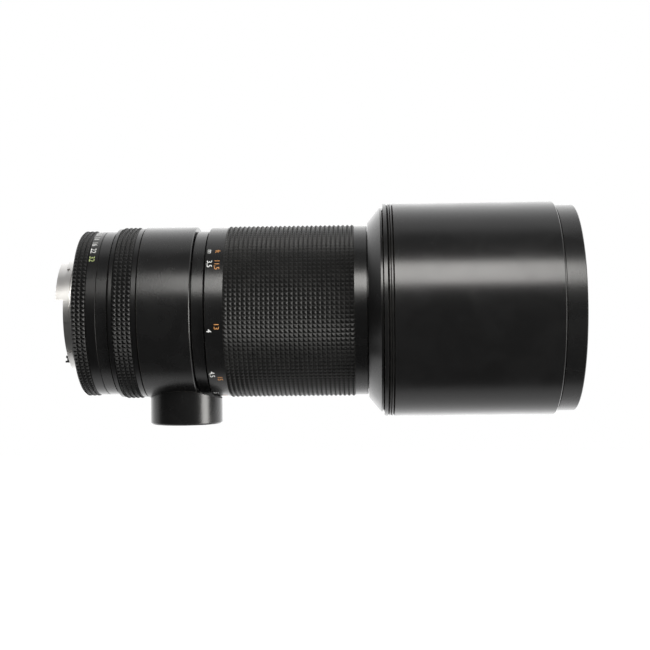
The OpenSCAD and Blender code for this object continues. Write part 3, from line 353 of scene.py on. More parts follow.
@dataclass(frozen=True)
class Anodised(Finish):
    """Black anodised aluminium, turned and then blasted satin, with wear along its edges.

    Attributes:
        worn: The colour of a worn edge.
        wear: How far a worn edge shows.
        matt_inside: How much rougher the walls are that face the axis.
        matt_slopes: How much rougher the sloping faces are, such as a knurl's.
    """

    worn: Colour = (0.23, 0.22, 0.2, 1.0)
    wear: float = 0.35
    matt_inside: float = 0.35
    matt_slopes: float = 0.0

    def wire(self, graph: MaterialGraph) -> None:
        """Wires the tone, wear, tool marks, grain and dust.

        Args:
            graph: The material's graph.
        """
        patch_rough, mark_rough, dust_rough = 0.025, 0.02, 0.3
        grain_height, mark_height, depth = 0.5, 0.3, 0.001 * MM
        outward = graph.group(outward_turn())["Outward"]
        inside = graph.remap(outward, 0.0, -0.2, 0.0, self.matt_inside)
        slopes = graph.remap(outward, 0.95, 0.8, 0.0, self.matt_slopes)
        edges = graph.group(edge_wear(), Width=0.12 * MM, Patchiness=0.6)["Mask"]
        edges = graph.times(edges, self.wear)
        patches = graph.group(handling_marks(), Size=14 * MM)["Mask"]
        grain = graph.group(surface_grain(), Size=0.09 * MM)["Height"]
        lines = graph.group(lathe_marks(), Spacing=0.22 * MM, Waver=0.5)["Height"]
        dust = graph.group(settled_dust())["Mask"]
        tone = graph.plus(graph.times(patches, 0.5), 0.5, grain)
        base = graph.blend(tone, self.colour, brighter(self.colour, 1.7))
        base = graph.blend(edges, base, self.worn)
        base = graph.blend(graph.times(dust, 0.5), base, grey(0.3))
        rough = graph.plus(self.rough - 0.02, patch_rough, patches)
        rough = graph.plus(rough, mark_rough, lines)
        rough = graph.math("ADD", rough, graph.math("MAXIMUM", inside, slopes))
        rough = graph.plus(rough, dust_rough, dust, clamp=True)
        graph.shade(base, rough, Metallic=graph.times(edges, 0.8))
        graph.relief(graph.plus(graph.times(lines, mark_height), grain_height, grain), depth)


@dataclass(frozen=True)
class Chrome(Finish):
    """Hard satin chrome over turned brass, with fine circular marks and light scuffs.

    Attributes:
        scuffed: The colour of the scuffs.
    """

    scuffed: Colour = (0.55, 0.54, 0.52, 1.0)

    def wire(self, graph: MaterialGraph) -> None:
        """Wires the circular marks, the scuffs and the bright edges.

        Args:
            graph: The material's graph.
        """
        patch_rough, mark_rough = 0.015, 0.08
        lines = graph.group(lathe_marks(), Spacing=0.14 * MM, Waver=0.9)["Height"]
        patches = graph.group(handling_marks(), Size=5 * MM)["Mask"]
        edges = graph.group(edge_wear(), Width=0.1 * MM, Patchiness=0.7)["Mask"]
        base = graph.blend(graph.times(patches, 0.1), self.colour, self.scuffed)
        base = graph.blend(edges, base, brighter(self.colour, 1.12))
        rough = graph.plus(self.rough, patch_rough, patches)
        rough = graph.plus(rough, mark_rough, lines, clamp=True)
        graph.shade(base, rough, Metallic=1.0)
        graph.relief(lines, 0.0012 * MM)


@dataclass(frozen=True)
class Rubber(Finish):
    """Moulded grip rubber, slightly polished on its tips and dusty in its grooves.

    Attributes:
        dusty: The colour of the dust in the grooves.
    """

    dusty: Colour = (0.022, 0.0215, 0.021, 1.0)

    def wire(self, graph: MaterialGraph) -> None:
        """Wires the polish of the tips, the dust of the grooves and the grain.

        Args:
            graph: The material's graph.
        """
        groove_rough, tip_polish, patch_rough = 0.06, -0.12, 0.05
        radius = graph.group(axis_place())["Radius"]
        height = graph.remap(radius, FocusGrip.base, FocusGrip.tip)
        patches = graph.group(handling_marks(), Size=9 * MM)["Mask"]
        groove = graph.times(graph.math("SUBTRACT", 1.0, height), patches)
        base = graph.blend(graph.times(groove, 0.5), self.colour, self.dusty)
        rough = graph.plus(self.rough + groove_rough, tip_polish, height)
        rough = graph.plus(rough, patch_rough, patches, clamp=True)
        graph.shade(base, rough, Specular_IOR_Level=0.2)
        graph.relief(graph.group(surface_grain(), Size=0.12 * MM)["Height"], 0.004 * MM)


@dataclass(frozen=True)
class BareMetal(Finish):
    """Turned steel or brass inside the lens, a little uneven in tone.

    Attributes:
        stained: The colour of the darker patches.
    """

    stained: Colour = (0.3, 0.29, 0.27, 1.0)

    def wire(self, graph: MaterialGraph) -> None:
        """Wires the tool marks and the stains.

        Args:
            graph: The material's graph.
        """
        lines = graph.group(lathe_marks(), Spacing=0.2 * MM, Waver=0.7)["Height"]
        patches = graph.group(handling_marks(), Size=4 * MM)["Mask"]
        base = graph.blend(graph.times(patches, 0.5), self.colour, self.stained)
        rough = graph.plus(self.rough, 0.12, lines)
        graph.shade(base, rough, Metallic=1.0)
        graph.relief(lines, 0.001 * MM)


@dataclass(frozen=True)
class MattBlack(Finish):
    """Matt black paint or felt that swallows stray light.

    Attributes:
        grain_size: The size of the paint's grain or of the felt's pile.
        grain_depth: The depth of that grain.
    """

    grain_size: float = 0.15 * MM
    grain_depth: float = 0.004 * MM

    def wire(self, graph: MaterialGraph) -> None:
        """Wires the grain and the rubbed patches.

        Args:
            graph: The material's graph.
        """
        grain = graph.group(surface_grain(), Size=self.grain_size, Roughness=0.7)["Height"]
        patches = graph.group(handling_marks(), Size=8 * MM)["Mask"]
        base = graph.blend(grain, self.colour, brighter(self.colour, 2.2))
        graph.shade(base, graph.plus(self.rough, -0.06, patches))
        graph.relief(grain, self.grain_depth)


@dataclass(frozen=True)
class Paint(Finish):
    """Enamel in the numbers and marks, worn thin in places.

    Attributes:
        thin: The colour where the paint is worn thin.
    """

    thin: Colour = grey(0.3)

    def wire(self, graph: MaterialGraph) -> None:
        """Wires the thin places and the grain.

        Args:
            graph: The material's graph.
        """
        grain = graph.group(surface_grain(), Size=0.2 * MM, Roughness=0.7)["Height"]
        base = graph.blend(graph.remap(grain, 0.56, 0.72, 0.0, 0.45), self.colour, self.thin)
        graph.shade(base, graph.plus(self.rough, 0.2, grain))
        graph.relief(grain, 0.002 * MM)


@dataclass(frozen=True)
class CoatedGlass(Finish):
    """Optical glass with an anti-reflection coating, whose tint grows towards the rim.

    Attributes:
        rim: The colour near the rim.
        rim_radius: The radius of the element.
        film: The thickness of the coating in nanometres.
    """

    rim: Colour = (0.75, 0.8, 0.95, 1.0)
    rim_radius: float = 38 * MM
    film: float = 108.0

    def wire(self, graph: MaterialGraph) -> None:
        """Wires the tint, the dust, the glass and its coating.

        Args:
            graph: The material's graph.
        """
        radius = graph.group(axis_place())["Radius"]
        outward = graph.remap(radius, 0.3 * self.rim_radius, self.rim_radius)
        dust = graph.group(settled_dust(), Spacing=2.4 * MM, Speck=0.03)["Mask"]
        base = graph.blend(outward, self.colour, self.rim)
        graph.shade(base, graph.plus(self.rough, 0.3, dust), IOR=1.52, Transmission_Weight=1.0,
                    Thin_Film_Thickness=self.film, Thin_Film_IOR=1.38)

    def surface(self, graph: MaterialGraph) -> Socket:
        """Lets the lamps' light through the glass to what lies behind it.

        Args:
            graph: The material's graph.

        Returns:
            The glass.
        """
        clear = graph.node("ShaderNodeBsdfTransparent", {"Color": grey(0.92)}).outputs[0]
        lamp = graph.node("ShaderNodeLightPath").outputs["Is Shadow Ray"]
        inputs = {0: lamp, 1: graph.shader.outputs[0], 2: clear}
        return graph.node("ShaderNodeMixShader", inputs).outputs[0]


BLACK: Colour = (0.0045, 0.0045, 0.0046, 1.0)
SATIN = Anodised("satin_black", BLACK, 0.27)
HOOD_SATIN = Anodised("hood_satin_black", BLACK, 0.245)
TUBE_SATIN = Anodised("tube_satin_black", BLACK, 0.26)
KNURLED = Anodised("knurled_black", (0.0025, 0.0025, 0.0026, 1.0), 0.29, wear=0.05,
                   matt_slopes=0.22)
CHROME = Chrome("satin_chrome", (0.72, 0.71, 0.695, 1.0), 0.3)
GRIP = Rubber("knurled_rubber", (0.011, 0.011, 0.0108, 1.0), 0.34)
STEEL = BareMetal("turned_steel", (0.55, 0.55, 0.54, 1.0), 0.28)
BRASS = BareMetal("turned_brass", (0.62, 0.44, 0.19, 1.0), 0.28, stained=(0.35, 0.22, 0.09, 1.0))
BLADE = BareMetal("blackened_blade", (0.05, 0.05, 0.054, 1.0), 0.36,
                  stained=(0.03, 0.03, 0.034, 1.0))
MATT = MattBlack("matt_paint", grey(0.006), 0.75)
PIN_BLACK = MattBlack("blackened_lever", grey(0.007), 0.45)
FELT = MattBlack("hood_felt", (0.009, 0.009, 0.0085, 1.0), 0.95, grain_size=0.25 * MM,
                 grain_depth=0.05 * MM)
FRONT_GLASS = CoatedGlass("front_glass", (0.97, 0.98, 1.0, 1.0), 0.0, rim=(0.78, 0.84, 0.98, 1.0))
REAR_GLASS = CoatedGlass("rear_glass", (0.96, 0.99, 0.97, 1.0), 0.0, rim=(0.85, 0.95, 0.88, 1.0),
                         rim_radius=17.5 * MM, film=122.0)


class Ink(Enum):
    """The paints of the numbers and marks."""

    WHITE = Paint("white_paint", (0.82, 0.83, 0.82, 1.0), 0.4)
    ORANGE = Paint("orange_paint", (0.6, 0.27, 0.085, 1.0), 0.4, thin=(0.32, 0.15, 0.055, 1.0))
    GREEN = Paint("green_paint", (0.42, 0.5, 0.2, 1.0), 0.4, thin=(0.2, 0.25, 0.1, 1.0))


def dress(finish: Finish, *nodes: str) -> None:
    """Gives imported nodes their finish.

    Args:
        finish: The finish.
        nodes: The nodes' names.
    """
    for node in nodes:
        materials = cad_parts[node].data.materials
        materials.clear()
        materials.append(finish.material())
        LOG.info("%s: %s", node, finish.name)


def add_object(name: str, data: bpy.types.ID) -> bpy.types.Object:
    """Adds an object to the scene.

    Args:
        name: The object's name.
        data: Its mesh, text, light or camera.

    Returns:
        The new object.
    """
    made = bpy.data.objects.new(name, data)
    bpy.context.scene.collection.objects.link(made)
    return made


def new_piece(name: str, points: Sequence[Sequence[float]], faces: Sequence[Sequence[int]],
              finish: Finish, body: str, smooth: float = 30.0) -> bpy.types.Object:
    """Makes one piece of the lens from its points and faces.

    Args:
        name: The piece's name.
        points: Its points in metres.
        faces: Its faces as lists of point numbers.
        finish: Its finish.
        body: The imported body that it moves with.
        smooth: Edges sharper than this many degrees stay sharp.

    Returns:
        The new object.
    """
    mesh = bpy.data.meshes.new(name)
    mesh.from_pydata(points, [], faces)
    mesh.validate()
    mesh.shade_smooth()
    mesh.set_sharp_from_angle(angle=math.radians(smooth))
    mesh.materials.append(finish.material())
    piece = add_object(name, mesh)
    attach(piece, body)
    LOG.info("%s: %d faces on %s", name, len(mesh.polygons), body)
    return piece


def on_barrel(x: float, radius: float, turn: float) -> Point:
    """Returns the point at a place along the axis, a radius and a turn in radians from the top."""
    return (x, -radius * math.sin(turn), radius * math.cos(turn))


@dataclass
class Lettering:
    """Plain numbers and marks that are wrapped round the barrel, with their tops to the front.

    Attributes:
        radius: The radius of the band that carries them.
        height: The height of a digit.
        body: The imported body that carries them.
        lift: How far the paint stands over the metal, and as far it goes in.
        points: Their points.
        faces: Their faces.
    """

    radius: float
    height: float
    body: str
    lift: float = 0.02 * MM
    points: list[Point] = field(default_factory=list)
    faces: list[list[int]] = field(default_factory=list)

    @staticmethod
    @functools.cache
    def glyphs(text: str) -> tuple[list[Vector], list[list[int]]]:
        """Draws a text flat, centred on the origin, with digits and letters of unit height.

        Args:
            text: The text.

        Returns:
            The points, whose z is -1 or 1, and the faces.
        """
        cap_share = 0.73
        curve = bpy.data.curves.new("glyphs", "FONT")
        curve.body, curve.align_x = text, "CENTER"
        curve.resolution_u, curve.size, curve.extrude = 3, 1 / cap_share, 1.0
        flat = add_object("glyphs", curve)
        bpy.context.view_layer.update()
        mesh = flat.evaluated_get(bpy.context.evaluated_depsgraph_get()).to_mesh()
        points = [vertex.co - Vector((0, 0.5, 0)) for vertex in mesh.vertices]
        faces = [list(polygon.vertices) for polygon in mesh.polygons]
        bpy.data.objects.remove(flat)
        bpy.data.curves.remove(curve)
        return points, faces

    def wrap(self, points: Iterable[Sequence[float]], faces: Iterable[Sequence[int]], x: float,
             azimuth: float) -> None:
        """Bends a flat drawing round the barrel, with its right towards growing azimuths.

        Args:
            points: The drawing's points.
            faces: The drawing's faces.
            x: The place along the axis of its middle.
            azimuth: The azimuth in degrees of its middle.
        """
        first = len(self.points)
        middle = math.radians(azimuth)
        self.points += [on_barrel(x + up, self.radius + out, middle + right / self.radius)
                        for right, up, out in points]
        self.faces += [[first + corner for corner in face] for face in faces]

    def text(self, text: str, x: float, azimuth: float) -> None:
        """Adds a text at a place along the axis and an azimuth in degrees."""
        flat, faces = self.glyphs(text)
        self.wrap([(p.x * self.height, p.y * self.height, p.z * self.lift) for p in flat],
                  faces, x, azimuth)

    def line(self, ends: tuple[float, float], azimuth: float) -> None:
        """Adds a line along the axis.

        Args:
            ends: Its ends along the axis.
            azimuth: Its azimuth in degrees.
        """
        steps, width, half = 4, 0.35 * MM, (ends[1] - ends[0]) / 2
        row = steps + 1
        points = [(width * (i / steps - 0.5), up, out)
                  for out in (-self.lift, self.lift) for up in (-half, half) for i in range(row)]
        faces = [[0, 2 * row, 3 * row, row], [k * row + steps for k in (0, 1, 3, 2)]]
        for i in range(steps):
            a, b, c, d = (k * row + i for k in range(4))
            faces += [[a, b, b + 1, a + 1], [c, c + 1, d + 1, d], [a, a + 1, c + 1, c],
                      [b, d, d + 1, b + 1]]
        self.wrap(points, faces, sum(ends) / 2, azimuth)

    def endless(self, x: float, azimuth: float) -> None:
        """Adds the sign of an endless distance, as a band along a lying figure of eight.

        Args:
            x: The place along the axis of its middle.
            azimuth: The azimuth in degrees of its middle.
        """
        count, half_width, half_stroke, roundness = 48, 0.75 * self.height, 0.09 * self.height, 1.25
        path = []
        for i in range(count):
            turn = FULL_TURN * i / count
            size = half_width / (1 + math.sin(turn) ** 2)
            up = roundness * size * math.sin(turn) * math.cos(turn)
            path.append(Vector((size * math.cos(turn), up, 0)))
        points = []
        faces = []
        for i, point in enumerate(path):
            ahead = (path[(i + 1) % count] - path[i - 1]).normalized()
            side = Vector((-ahead.y, ahead.x, 0)) * half_stroke
            points += [point + s * side + Vector((0, 0, out))
                       for out in (-self.lift, self.lift) for s in (-1, 1)]
            a, b = 4 * i, 4 * ((i + 1) % count)
            faces += [[a, a + 1, b + 1, b], [a + 2, b + 2, b + 3, a + 3], [a, b, b + 2, a + 2],
                      [a + 1, a + 3, b + 3, b + 1]]
        self.wrap(points, faces, x, azimuth)

    def finish(self, name: str, ink: Ink) -> None:
        """Makes the piece of all that was added, in one paint."""
        new_piece(name, self.points, self.faces, ink.value, self.body, smooth=20)


@dataclass
class ApertureScale:
    """The stops on the aperture ring and the line that they are read against.

    Attributes:
        radius: The radius of the numbered band and of the index ring.
        numbers_x: The place of the numbers along the axis.
        index_x: The ends of the index line.
        stop_angle: The turn between neighbouring stops, in degrees.
        first_azimuth: The azimuth of the largest aperture, in degrees.
        digit: The height of a digit.
        stops: The numbers, of which the last is green.
    """

    radius: float = 33.9 * MM
    numbers_x: float = 8.6 * MM
    index_x: tuple[float, float] = (11.5 * MM, 15.0 * MM)
    stop_angle: float = 8.0
    first_azimuth: float = 2.5
    digit: float = 2.3 * MM
    stops: tuple[str, ...] = ("4", "5.6", "8", "11", "16", "22", "32")

    def build(self) -> None:
        """Makes the white numbers, the green one and the index line."""
        white, green = (Lettering(self.radius, self.digit, "aperture") for _ in range(2))
        for i, stop in enumerate(self.stops):
            column = green if stop == self.stops[-1] else white
            column.text(stop, self.numbers_x, self.first_azimuth + i * self.stop_angle)
        white.finish("aperture_numbers", Ink.WHITE)
        green.finish("aperture_last_number", Ink.GREEN)
        index = Lettering(self.radius, self.digit, "fixed_barrel")
        index.line(self.index_x, self.first_azimuth)
        index.finish("aperture_index", Ink.WHITE)


@dataclass
class DistanceScale:
    """The distances on the focusing ring and the line on the neck ring that they are read against.

    Attributes:
        radius: The radius of the numbered band.
        neck_radius: The radius of the neck ring.
        metres_x: The place of the metres along the axis.
        feet_x: The place of the feet along the axis.
        index_x: The ends of the index line.
        digit: The height of a digit.
        focal_length: The focal length of the lens.
        turn_per_travel: The turn in degrees for each metre that the front unit moves.
        metres: The distances in metres.
        feet: The distances in feet.
        units_azimuth: The azimuth in degrees of the names of the units.
        foot: The length of a foot.
    """

    radius: float = 35.0 * MM
    neck_radius: float = 33.65 * MM
    metres_x: float = 55.95 * MM
    feet_x: float = 58.95 * MM
    index_x: tuple[float, float] = (49.6 * MM, 53.2 * MM)
    digit: float = 2.1 * MM
    focal_length: float = 0.3
    turn_per_travel: float = 9.64 / MM
    metres: tuple[float, ...] = (3.5, 4, 4.5, 5, 6, 7, 8, 10, 15, 20, 30, 50)
    feet: tuple[float, ...] = (11.5, 13, 15, 17, 20, 25, 30, 40, 60, 100)
    units_azimuth: float = 47.0
    foot: float = 0.3048

    def azimuth(self, distance: float) -> float:
        """Works out where a distance's mark lies, with the ring at infinity.

        Args:
            distance: The distance in metres from the film to the subject.

        Returns:
            The azimuth of the mark in degrees.
        """
        ratio = distance / self.focal_length - 2
        magnification = (ratio - math.sqrt(ratio * ratio - 4)) / 2
        return 360 - self.turn_per_travel * magnification * self.focal_length

    def build(self) -> None:
        """Makes both columns of numbers, with their units and endless signs, and the index line."""
        for name, ink, unit, x, distances, length in (
                ("scale_metres", Ink.WHITE, "m", self.metres_x, self.metres, 1.0),
                ("scale_feet", Ink.ORANGE, "ft", self.feet_x, self.feet, self.foot)):
            column = Lettering(self.radius, self.digit, "focus")
            for distance in distances:
                label = f"{distance:g}".replace(".", ",")
                column.text(label, x, self.azimuth(distance * length))
            column.text(unit, x, self.units_azimuth)
            column.endless(x, 0.0)
            column.finish(name, ink)
        index = Lettering(self.neck_radius, self.digit, "fixed_barrel")
        index.line(self.index_x, 0.0)
        index.finish("distance_index", Ink.WHITE)


@dataclass
class FocusGrip:
    """The knurled grip: square pyramids with small flats on their tips, all round the ring.

    Attributes:
        seat: The radius of the groove that it sits in.
        base: The radius of the grooves between the pyramids.
        tip: The radius of the pyramids' tips.
        columns: The pyramids along the axis.
        rows: The pyramids round the ring.
        flat_share: The width of a tip's flat, as a share of a pyramid's width.
    """

    seat: float = 33.9 * MM
    base: float = 34.94 * MM
    tip: float = 35.5 * MM
    columns: int = 28
    rows: int = 120
    flat_share: float = 0.12

    def build(self) -> None:
        """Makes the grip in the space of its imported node."""
        low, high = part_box("focus_grip")
        pitch, step = (high.x - low.x) / self.columns, FULL_TURN / self.rows
        points = [on_barrel(low.x + i * pitch, self.base, j * step)
                  for i in range(self.columns + 1) for j in range(self.rows)]
        faces = []

        def corner(i: int, j: int) -> int:
            """Returns the number of a groove's crossing."""
            return i * self.rows + j % self.rows

        half = self.flat_share / 2
        for i in range(self.columns):
            for j in range(self.rows):
                first = len(points)
                points += [on_barrel(low.x + (i + 0.5 + a * half) * pitch, self.tip,
                                     (j + 0.5 + b * half) * step)
                           for a, b in ((-1, -1), (-1, 1), (1, 1), (1, -1))]
                around = [corner(i, j), corner(i, j + 1), corner(i + 1, j + 1), corner(i + 1, j)]
                faces.append([first + k for k in range(4)])
                faces += [[around[k], around[(k + 1) % 4], first + (k + 1) % 4, first + k]
                          for k in range(4)]
        rear, front = len(points), len(points) + self.rows
        points += [on_barrel(x, self.seat, j * step)
                   for x in (low.x, high.x) for j in range(self.rows)]
        for j in range(self.rows):
            k = (j + 1) % self.rows
            faces += [[rear + j, rear + k, corner(0, k), corner(0, j)],
                      [front + j, corner(self.columns, j), corner(self.columns, k), front + k],
                      [rear + j, front + j, front + k, rear + k]]
        grip = new_piece("focus_grip_knurl", points, faces, GRIP, "focus", smooth=12)
        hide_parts("focus_grip")


@dataclass
class GlassElement:
    """A glass element with two spherical faces and a blackened rim.

    Attributes:
        node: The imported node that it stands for.
        finish: The finish of its faces.
        rear_x: The place along the axis of the rim's rear edge.
        radius: The radius of the rim.
        rim: The width of the rim along the axis.
        curves: The radii of the rear and of the front face. A negative one is hollow.
        rings: The rings of points on each face.
        steps: The points of a ring.
    """

    node: str
    finish: CoatedGlass
    rear_x: float
    radius: float
    rim: float
    curves: tuple[float, float]
    rings: int = 20
    steps: int = 160

    def bulge(self, curve: float, across: float) -> float:
        """Returns how far a face stands out over its rim at a distance from the axis."""
        height = math.sqrt(curve**2 - across**2) - math.sqrt(curve**2 - self.radius**2)
        return math.copysign(height, curve)

    def build(self) -> None:
        """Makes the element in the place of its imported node."""
        rear, front = self.curves
        across = [self.radius * (k + 1) / self.rings for k in range(self.rings)]
        front_x = self.rear_x + self.rim
        profile = [(self.rear_x - self.bulge(rear, r), r) for r in across]
        profile += [(front_x + self.bulge(front, r), r) for r in reversed(across)]
        turns = [FULL_TURN * j / self.steps for j in range(self.steps)]
        points = [on_barrel(x, r, turn) for x, r in profile for turn in turns]
        last, rear_pole, front_pole = len(points) - self.steps, len(points), len(points) + 1
        points += [(self.rear_x - self.bulge(rear, 0.0), 0.0, 0.0),
                   (front_x + self.bulge(front, 0.0), 0.0, 0.0)]
        faces = []
        for j in range(self.steps):
            k = (j + 1) % self.steps
            faces += [[rear_pole, k, j], [front_pole, last + j, last + k]]
            faces += [[a + j, a + k, a + self.steps + k, a + self.steps + j]
                      for a in range(0, last, self.steps)]
        glass = new_piece(f"{self.node}_glass", points, faces, self.finish, "front_unit")
        glass.data.materials.append(MATT.material())
        for face in glass.data.polygons:
            face.material_index = int(abs(face.normal.x) < 0.5)
        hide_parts(self.node)


@dataclass
class Thread:
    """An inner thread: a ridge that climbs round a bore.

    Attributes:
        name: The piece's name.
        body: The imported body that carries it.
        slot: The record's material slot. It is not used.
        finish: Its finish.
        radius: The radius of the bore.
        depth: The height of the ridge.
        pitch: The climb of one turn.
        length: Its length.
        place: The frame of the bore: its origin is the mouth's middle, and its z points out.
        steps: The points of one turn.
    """

    name: str
    body: str
    slot: str
    finish: Finish
    radius: float
    depth: float
    pitch: float
    length: float
    place: Matrix
    steps: int = 160

    def build(self) -> None:
        """Makes one closed ridge that climbs round the bore and runs out at both ends."""
        count = round((self.length / self.pitch - 1) * self.steps)
        foot, run_out = self.radius + 0.01 * MM, self.steps / 8
        points = []
        for i in range(count + 1):
            turn, along = FULL_TURN * i / self.steps, self.pitch * i / self.steps - self.length
            crest = foot - self.depth * min(1.0, (i + 1) / run_out, (count - i + 1) / run_out)
            points += [self.place @ Vector((r * math.cos(turn), r * math.sin(turn),
                                            along + share * self.pitch))
                       for share, r in ((0.0, foot), (0.32, crest), (0.45, crest), (0.77, foot))]
        faces = [[3, 2, 1, 0], [4 * count + k for k in range(4)]]
        for i in range(count):
            corners = [(4 * i + k, 4 * i + (k + 1) % 4) for k in range(4)]
            faces += [[a, b, b + 4, a + 4] for a, b in corners]
        new_piece(self.name, points, faces, self.finish, self.body, smooth=25)


@dataclass
class Lens:
    """The whole lens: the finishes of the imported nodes, and the pieces that this script adds.

    Attributes:
        elements: The glass elements, from the front.
    """

    elements: tuple[GlassElement, ...] = (
        GlassElement("front_element", FRONT_GLASS, 176.05 * MM, 38.8 * MM, 3.5 * MM, (0.35, 0.12)),
        GlassElement("second_element", FRONT_GLASS, 158.05 * MM, 36.8 * MM, 3.5 * MM, (-0.5, 0.11)),
        GlassElement("third_element", FRONT_GLASS, 145.048 * MM, 34.5 * MM, 10.0022 * MM,
                     (-0.11, -0.25)),
        GlassElement("fourth_element", REAR_GLASS, 57.15 * MM, 17.5 * MM, 6.9966 * MM,
                     (-0.06, -0.09)),
        GlassElement("rear_element", REAR_GLASS, 52.15 * MM, 17.5 * MM, 2.5 * MM, (0.07, -0.12)),
    )

    def mount(self) -> None:
        """Finishes the camera mount and the small parts of metal behind it."""
        dress(CHROME, "bayonet_mount")
        dress(STEEL, "mount_screws", "click_ball", "focus_stop_pin", "aperture_fork",
              "foot_screws", "barrel_screws")
        dress(PIN_BLACK, "stop_down_lever", "neck_screws")
        dress(MATT, "rear_baffle")
        dress(BRASS, "click_spring", "guide_keys", "iris_drive_ring")

    def barrel(self) -> None:
        """Finishes the fixed barrel and the rings that turn on it."""
        dress(SATIN, "main_barrel", "neck_ring", "tripod_collar", "tripod_foot", "focus_ring",
              "filter_ring", "focus_retainer", "helicoid_tube")
        dress(KNURLED, "aperture_ring", "lock_ring")
        dress(STEEL, "tripod_bush")
        dress(GRIP, "focus_grip")
        ApertureScale().build()
        DistanceScale().build()
        FocusGrip().build()

    def front(self) -> None:
        """Finishes the front barrel, the hood and the optics."""
        dress(TUBE_SATIN, "front_barrel")
        dress(HOOD_SATIN, "hood")
        dress(FELT, "hood_felt")
        dress(MATT, "inner_tube", "front_cell", "front_spacer", "middle_spacer", "front_retainer",
              "trim_ring", "rear_cell", "rear_spacer", "rear_retainer", "iris_housing",
              "iris_cover")
        dress(BLADE, *(f"blade_{i}" for i in range(1, 9)))
        for element in self.elements:
            dress(element.finish, element.node)
            element.build()

    def threads(self) -> None:
        """Adds the filter thread and the tripod thread."""
        _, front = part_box("filter_ring")
        low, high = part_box("tripod_bush")
        filter_place = Matrix.Translation((front.x, 0, 0)) @ Matrix.Rotation(math.pi / 2, 4, "Y")
        tripod_place = (Matrix.Translation(((low.x + high.x) / 2, (low.y + high.y) / 2, low.z))
                        @ Matrix.Rotation(math.pi, 4, "X"))
        Thread("filter_thread", "front_unit", "black_anodised", SATIN, 41 * MM, 0.42 * MM,
               0.75 * MM, 5.2 * MM, filter_place).build()
        Thread("tripod_thread", "collar", "steel", STEEL, 3.175 * MM, 0.5 * MM, 1.27 * MM,
               7.4 * MM, tripod_place, steps=64).build()

    def build(self) -> None:
        """Builds the lens in order."""
        for part in (self.mount, self.barrel, self.front, self.threads):
            part()


def aimed(azimuth: float, tilt: float, roll: float = 0.0) -> Matrix:
    """Returns the rotation of a light or camera that looks down, then rolls, tilts and turns."""
    aim = Euler((math.radians(tilt), 0, math.radians(azimuth))).to_matrix()
    return aim @ Matrix.Rotation(math.radians(roll), 3, "Z")


@dataclass(frozen=True)
class Softbox:
    """A rectangular soft light.

    Attributes:
        name: The light's name.
        azimuth: Its turn in degrees from the camera's side towards the lens's front.
        elevation: Its height over the horizon, in degrees.
        distance: Its distance from its aim.
        size: Its width and its height.
        radiance: Its brightness, where 1 is white paper.
        aim: The point that it is turned to.
    """

    name: str
    azimuth: float
    elevation: float
    distance: float
    size: tuple[float, float]
    radiance: float
    aim: Point

    def build(self) -> None:
        """Makes the light."""
        lamp = bpy.data.lights.new(self.name, "AREA")
        lamp.shape, lamp.color = "RECTANGLE", WARM_WHITE
        lamp.size, lamp.size_y = self.size
        lamp.energy = self.radiance * math.pi * self.size[0] * self.size[1]
        turn = aimed(self.azimuth, 90 - self.elevation)
        softbox = add_object(self.name, lamp)
        softbox.location = Vector(self.aim) + turn @ Vector((0, 0, self.distance))
        softbox.rotation_euler = turn.to_euler()
        softbox.visible_camera = False


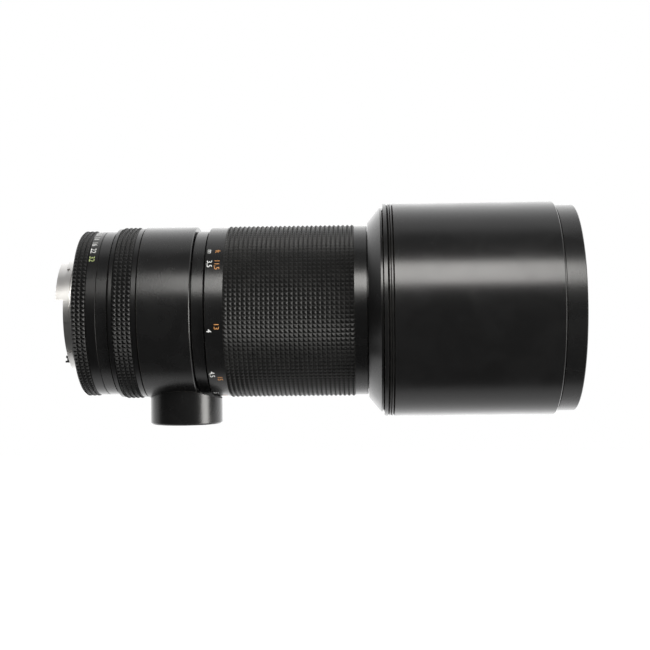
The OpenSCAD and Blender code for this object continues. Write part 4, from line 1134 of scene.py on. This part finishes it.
@dataclass
class Studio:
    """White surroundings behind the lens, dark ones in front, and two soft lights.

    Attributes:
        floor_z: The height of the floor.
        floor_size: The width of the floor.
        ambient: The level of the surroundings for matt surfaces.
        dark: The level of the dark side for glossy surfaces.
        ceiling: The level that a ceiling adds for glossy surfaces.
        pale: The level above and beside the lens for glossy surfaces.
        bright: The level straight behind the lens for glossy surfaces.
        softboxes: The soft lights.
    """

    floor_z: float = -0.45
    floor_size: float = 8.0
    ambient: float = 0.3
    dark: float = 0.07
    ceiling: float = 0.12
    pale: float = 0.75
    bright: float = 2.0
    softboxes: tuple[Softbox, ...] = (
        Softbox("long_softbox", 0.0, 37.5, 0.9, (0.46, 0.36), 11.0, (0.16, 0.0, 0.0)),
        Softbox("side_softbox", 67.0, -4.0, 0.8, (0.36, 0.66), 12.0, (0.1, 0.0, 0.0)),
    )

    @staticmethod
    def seen(graph: Graph) -> tuple[Socket, Socket]:
        """Sorts the rays that reach the surroundings.

        Args:
            graph: The graph to work in.

        Returns:
            A mask for rays that should see the white background, and one for rays of a reflection,
            also of one inside the lens.
        """
        path = graph.node("ShaderNodeLightPath").outputs
        through = path["Is Transmission Ray"]
        mirrored = graph.math("GREATER_THAN", path["Glossy Depth"], 0.5)
        straight = graph.math("SUBTRACT", through, mirrored, clamp=True)
        return (graph.math("MAXIMUM", path["Is Camera Ray"], straight),
                graph.math("MAXIMUM", path["Is Glossy Ray"], graph.times(through, mirrored)))

    def mirrored(self, graph: Graph, behind: Socket, edge: float,
                 rise: tuple[float, float]) -> Socket:
        """Gives what glossy surfaces see: dark in front, pale aside, bright straight behind.

        Args:
            graph: The graph to work in.
            behind: How far a point or direction lies behind the lens.
            edge: Half the width of the change from dark to pale.
            rise: Where the change from pale to bright begins and ends.

        Returns:
            The level.
        """
        near = graph.remap(behind, -edge, edge, self.dark, self.pale)
        return graph.math("ADD", near, graph.remap(behind, *rise, 0.0, self.bright - self.pale))

    def world(self) -> None:
        """Makes the world: white to the eye, and dark in front to glossy surfaces."""
        world = bpy.data.worlds.new("studio_world")
        graph = Graph.fresh(world)
        seen, glossy = self.seen(graph)
        _, behind, up = graph.node("ShaderNodeSeparateXYZ", {0: graph.point("Generated")}).outputs
        overhead = graph.remap(up, 0.6, 0.95, 0.0, self.ceiling)
        mirrored = graph.math("ADD", self.mirrored(graph, behind, 0.12, (0.2, 1.0)), overhead)
        matt = graph.times(graph.math("SUBTRACT", 1.0, glossy), self.ambient)
        strength = graph.math("MAXIMUM", graph.plus(matt, glossy, mirrored), seen)
        background = graph.node("ShaderNodeBackground", {"Color": grey(1.0), "Strength": strength})
        graph.node("ShaderNodeOutputWorld", {"Surface": background.outputs[0]})
        bpy.context.scene.world = world

    def floor(self) -> None:
        """Makes the pale floor, well under the lens."""
        half = self.floor_size / 2
        corners = ((-half, -half), (half, -half), (half, half), (-half, half))
        mesh = bpy.data.meshes.new("floor")
        mesh.from_pydata([(x, y, self.floor_z) for x, y in corners], [], [(0, 1, 2, 3)])
        material = bpy.data.materials.new("pale_floor")
        graph = Graph.fresh(material)
        seen, glossy = self.seen(graph)
        behind = graph.node("ShaderNodeSeparateXYZ", {0: graph.point()}).outputs[1]
        diffuse = graph.node("ShaderNodeBsdfDiffuse", {"Color": grey(0.8)}).outputs[0]
        glow = graph.node("ShaderNodeEmission", {"Strength": graph.times(seen, 0.9)}).outputs[0]
        lit = graph.node("ShaderNodeAddShader", {0: diffuse, 1: glow}).outputs[0]
        level = self.mirrored(graph, behind, 0.06, (0.0, 1.0))
        mirrored = graph.node("ShaderNodeEmission", {"Strength": level}).outputs[0]
        mix = graph.node("ShaderNodeMixShader", {0: glossy, 1: lit, 2: mirrored}).outputs[0]
        graph.node("ShaderNodeOutputMaterial", {"Surface": mix})
        mesh.materials.append(material)
        floor = add_object("floor", mesh)

    def build(self) -> None:
        """Builds the studio."""
        self.world()
        self.floor()
        for softbox in self.softboxes:
            softbox.build()


@dataclass
class PhotoCamera:
    """The camera that sees the lens as the photograph does.

    Attributes:
        focal: The focal length for the sensor's width, in millimetres.
        sensor: The sensor's width in millimetres.
        yaw: The turn of the view round the vertical, in degrees.
        roll: The rise of the optical axis in the picture, in degrees.
        target: The point of the axis at the middle of the picture.
        distance: Its distance from the camera.
        drop: How far the camera sits under the line through that point.
    """

    focal: float = 73.17
    sensor: float = 36.0
    yaw: float = 1.6412
    roll: float = -0.7023
    target: Point = (100.63 * MM, 0.0, 0.0)
    distance: float = 551.13 * MM
    drop: float = 5.98 * MM

    def build(self) -> None:
        """Makes the camera and gives it to the scene."""
        turn = aimed(self.yaw, 90, self.roll)
        data = bpy.data.cameras.new("photo_camera")
        data.lens, data.sensor_width = self.focal, self.sensor
        data.clip_start, data.clip_end = 0.01, 50.0
        camera = add_object("photo_camera", data)
        camera.matrix_world = turn.to_4x4()
        camera.location = Vector(self.target) + turn @ Vector((0, -self.drop, self.distance))
        bpy.context.scene.camera = camera


def main() -> None:
    """Builds the scene: the camera, the studio and the lens."""
    logging.basicConfig(level=logging.INFO, format="%(message)s")
    bpy.context.scene.view_settings.view_transform = "Standard"
    PhotoCamera().build()
    Studio().build()
    Lens().build()


if __name__ == "__main__":
    main()
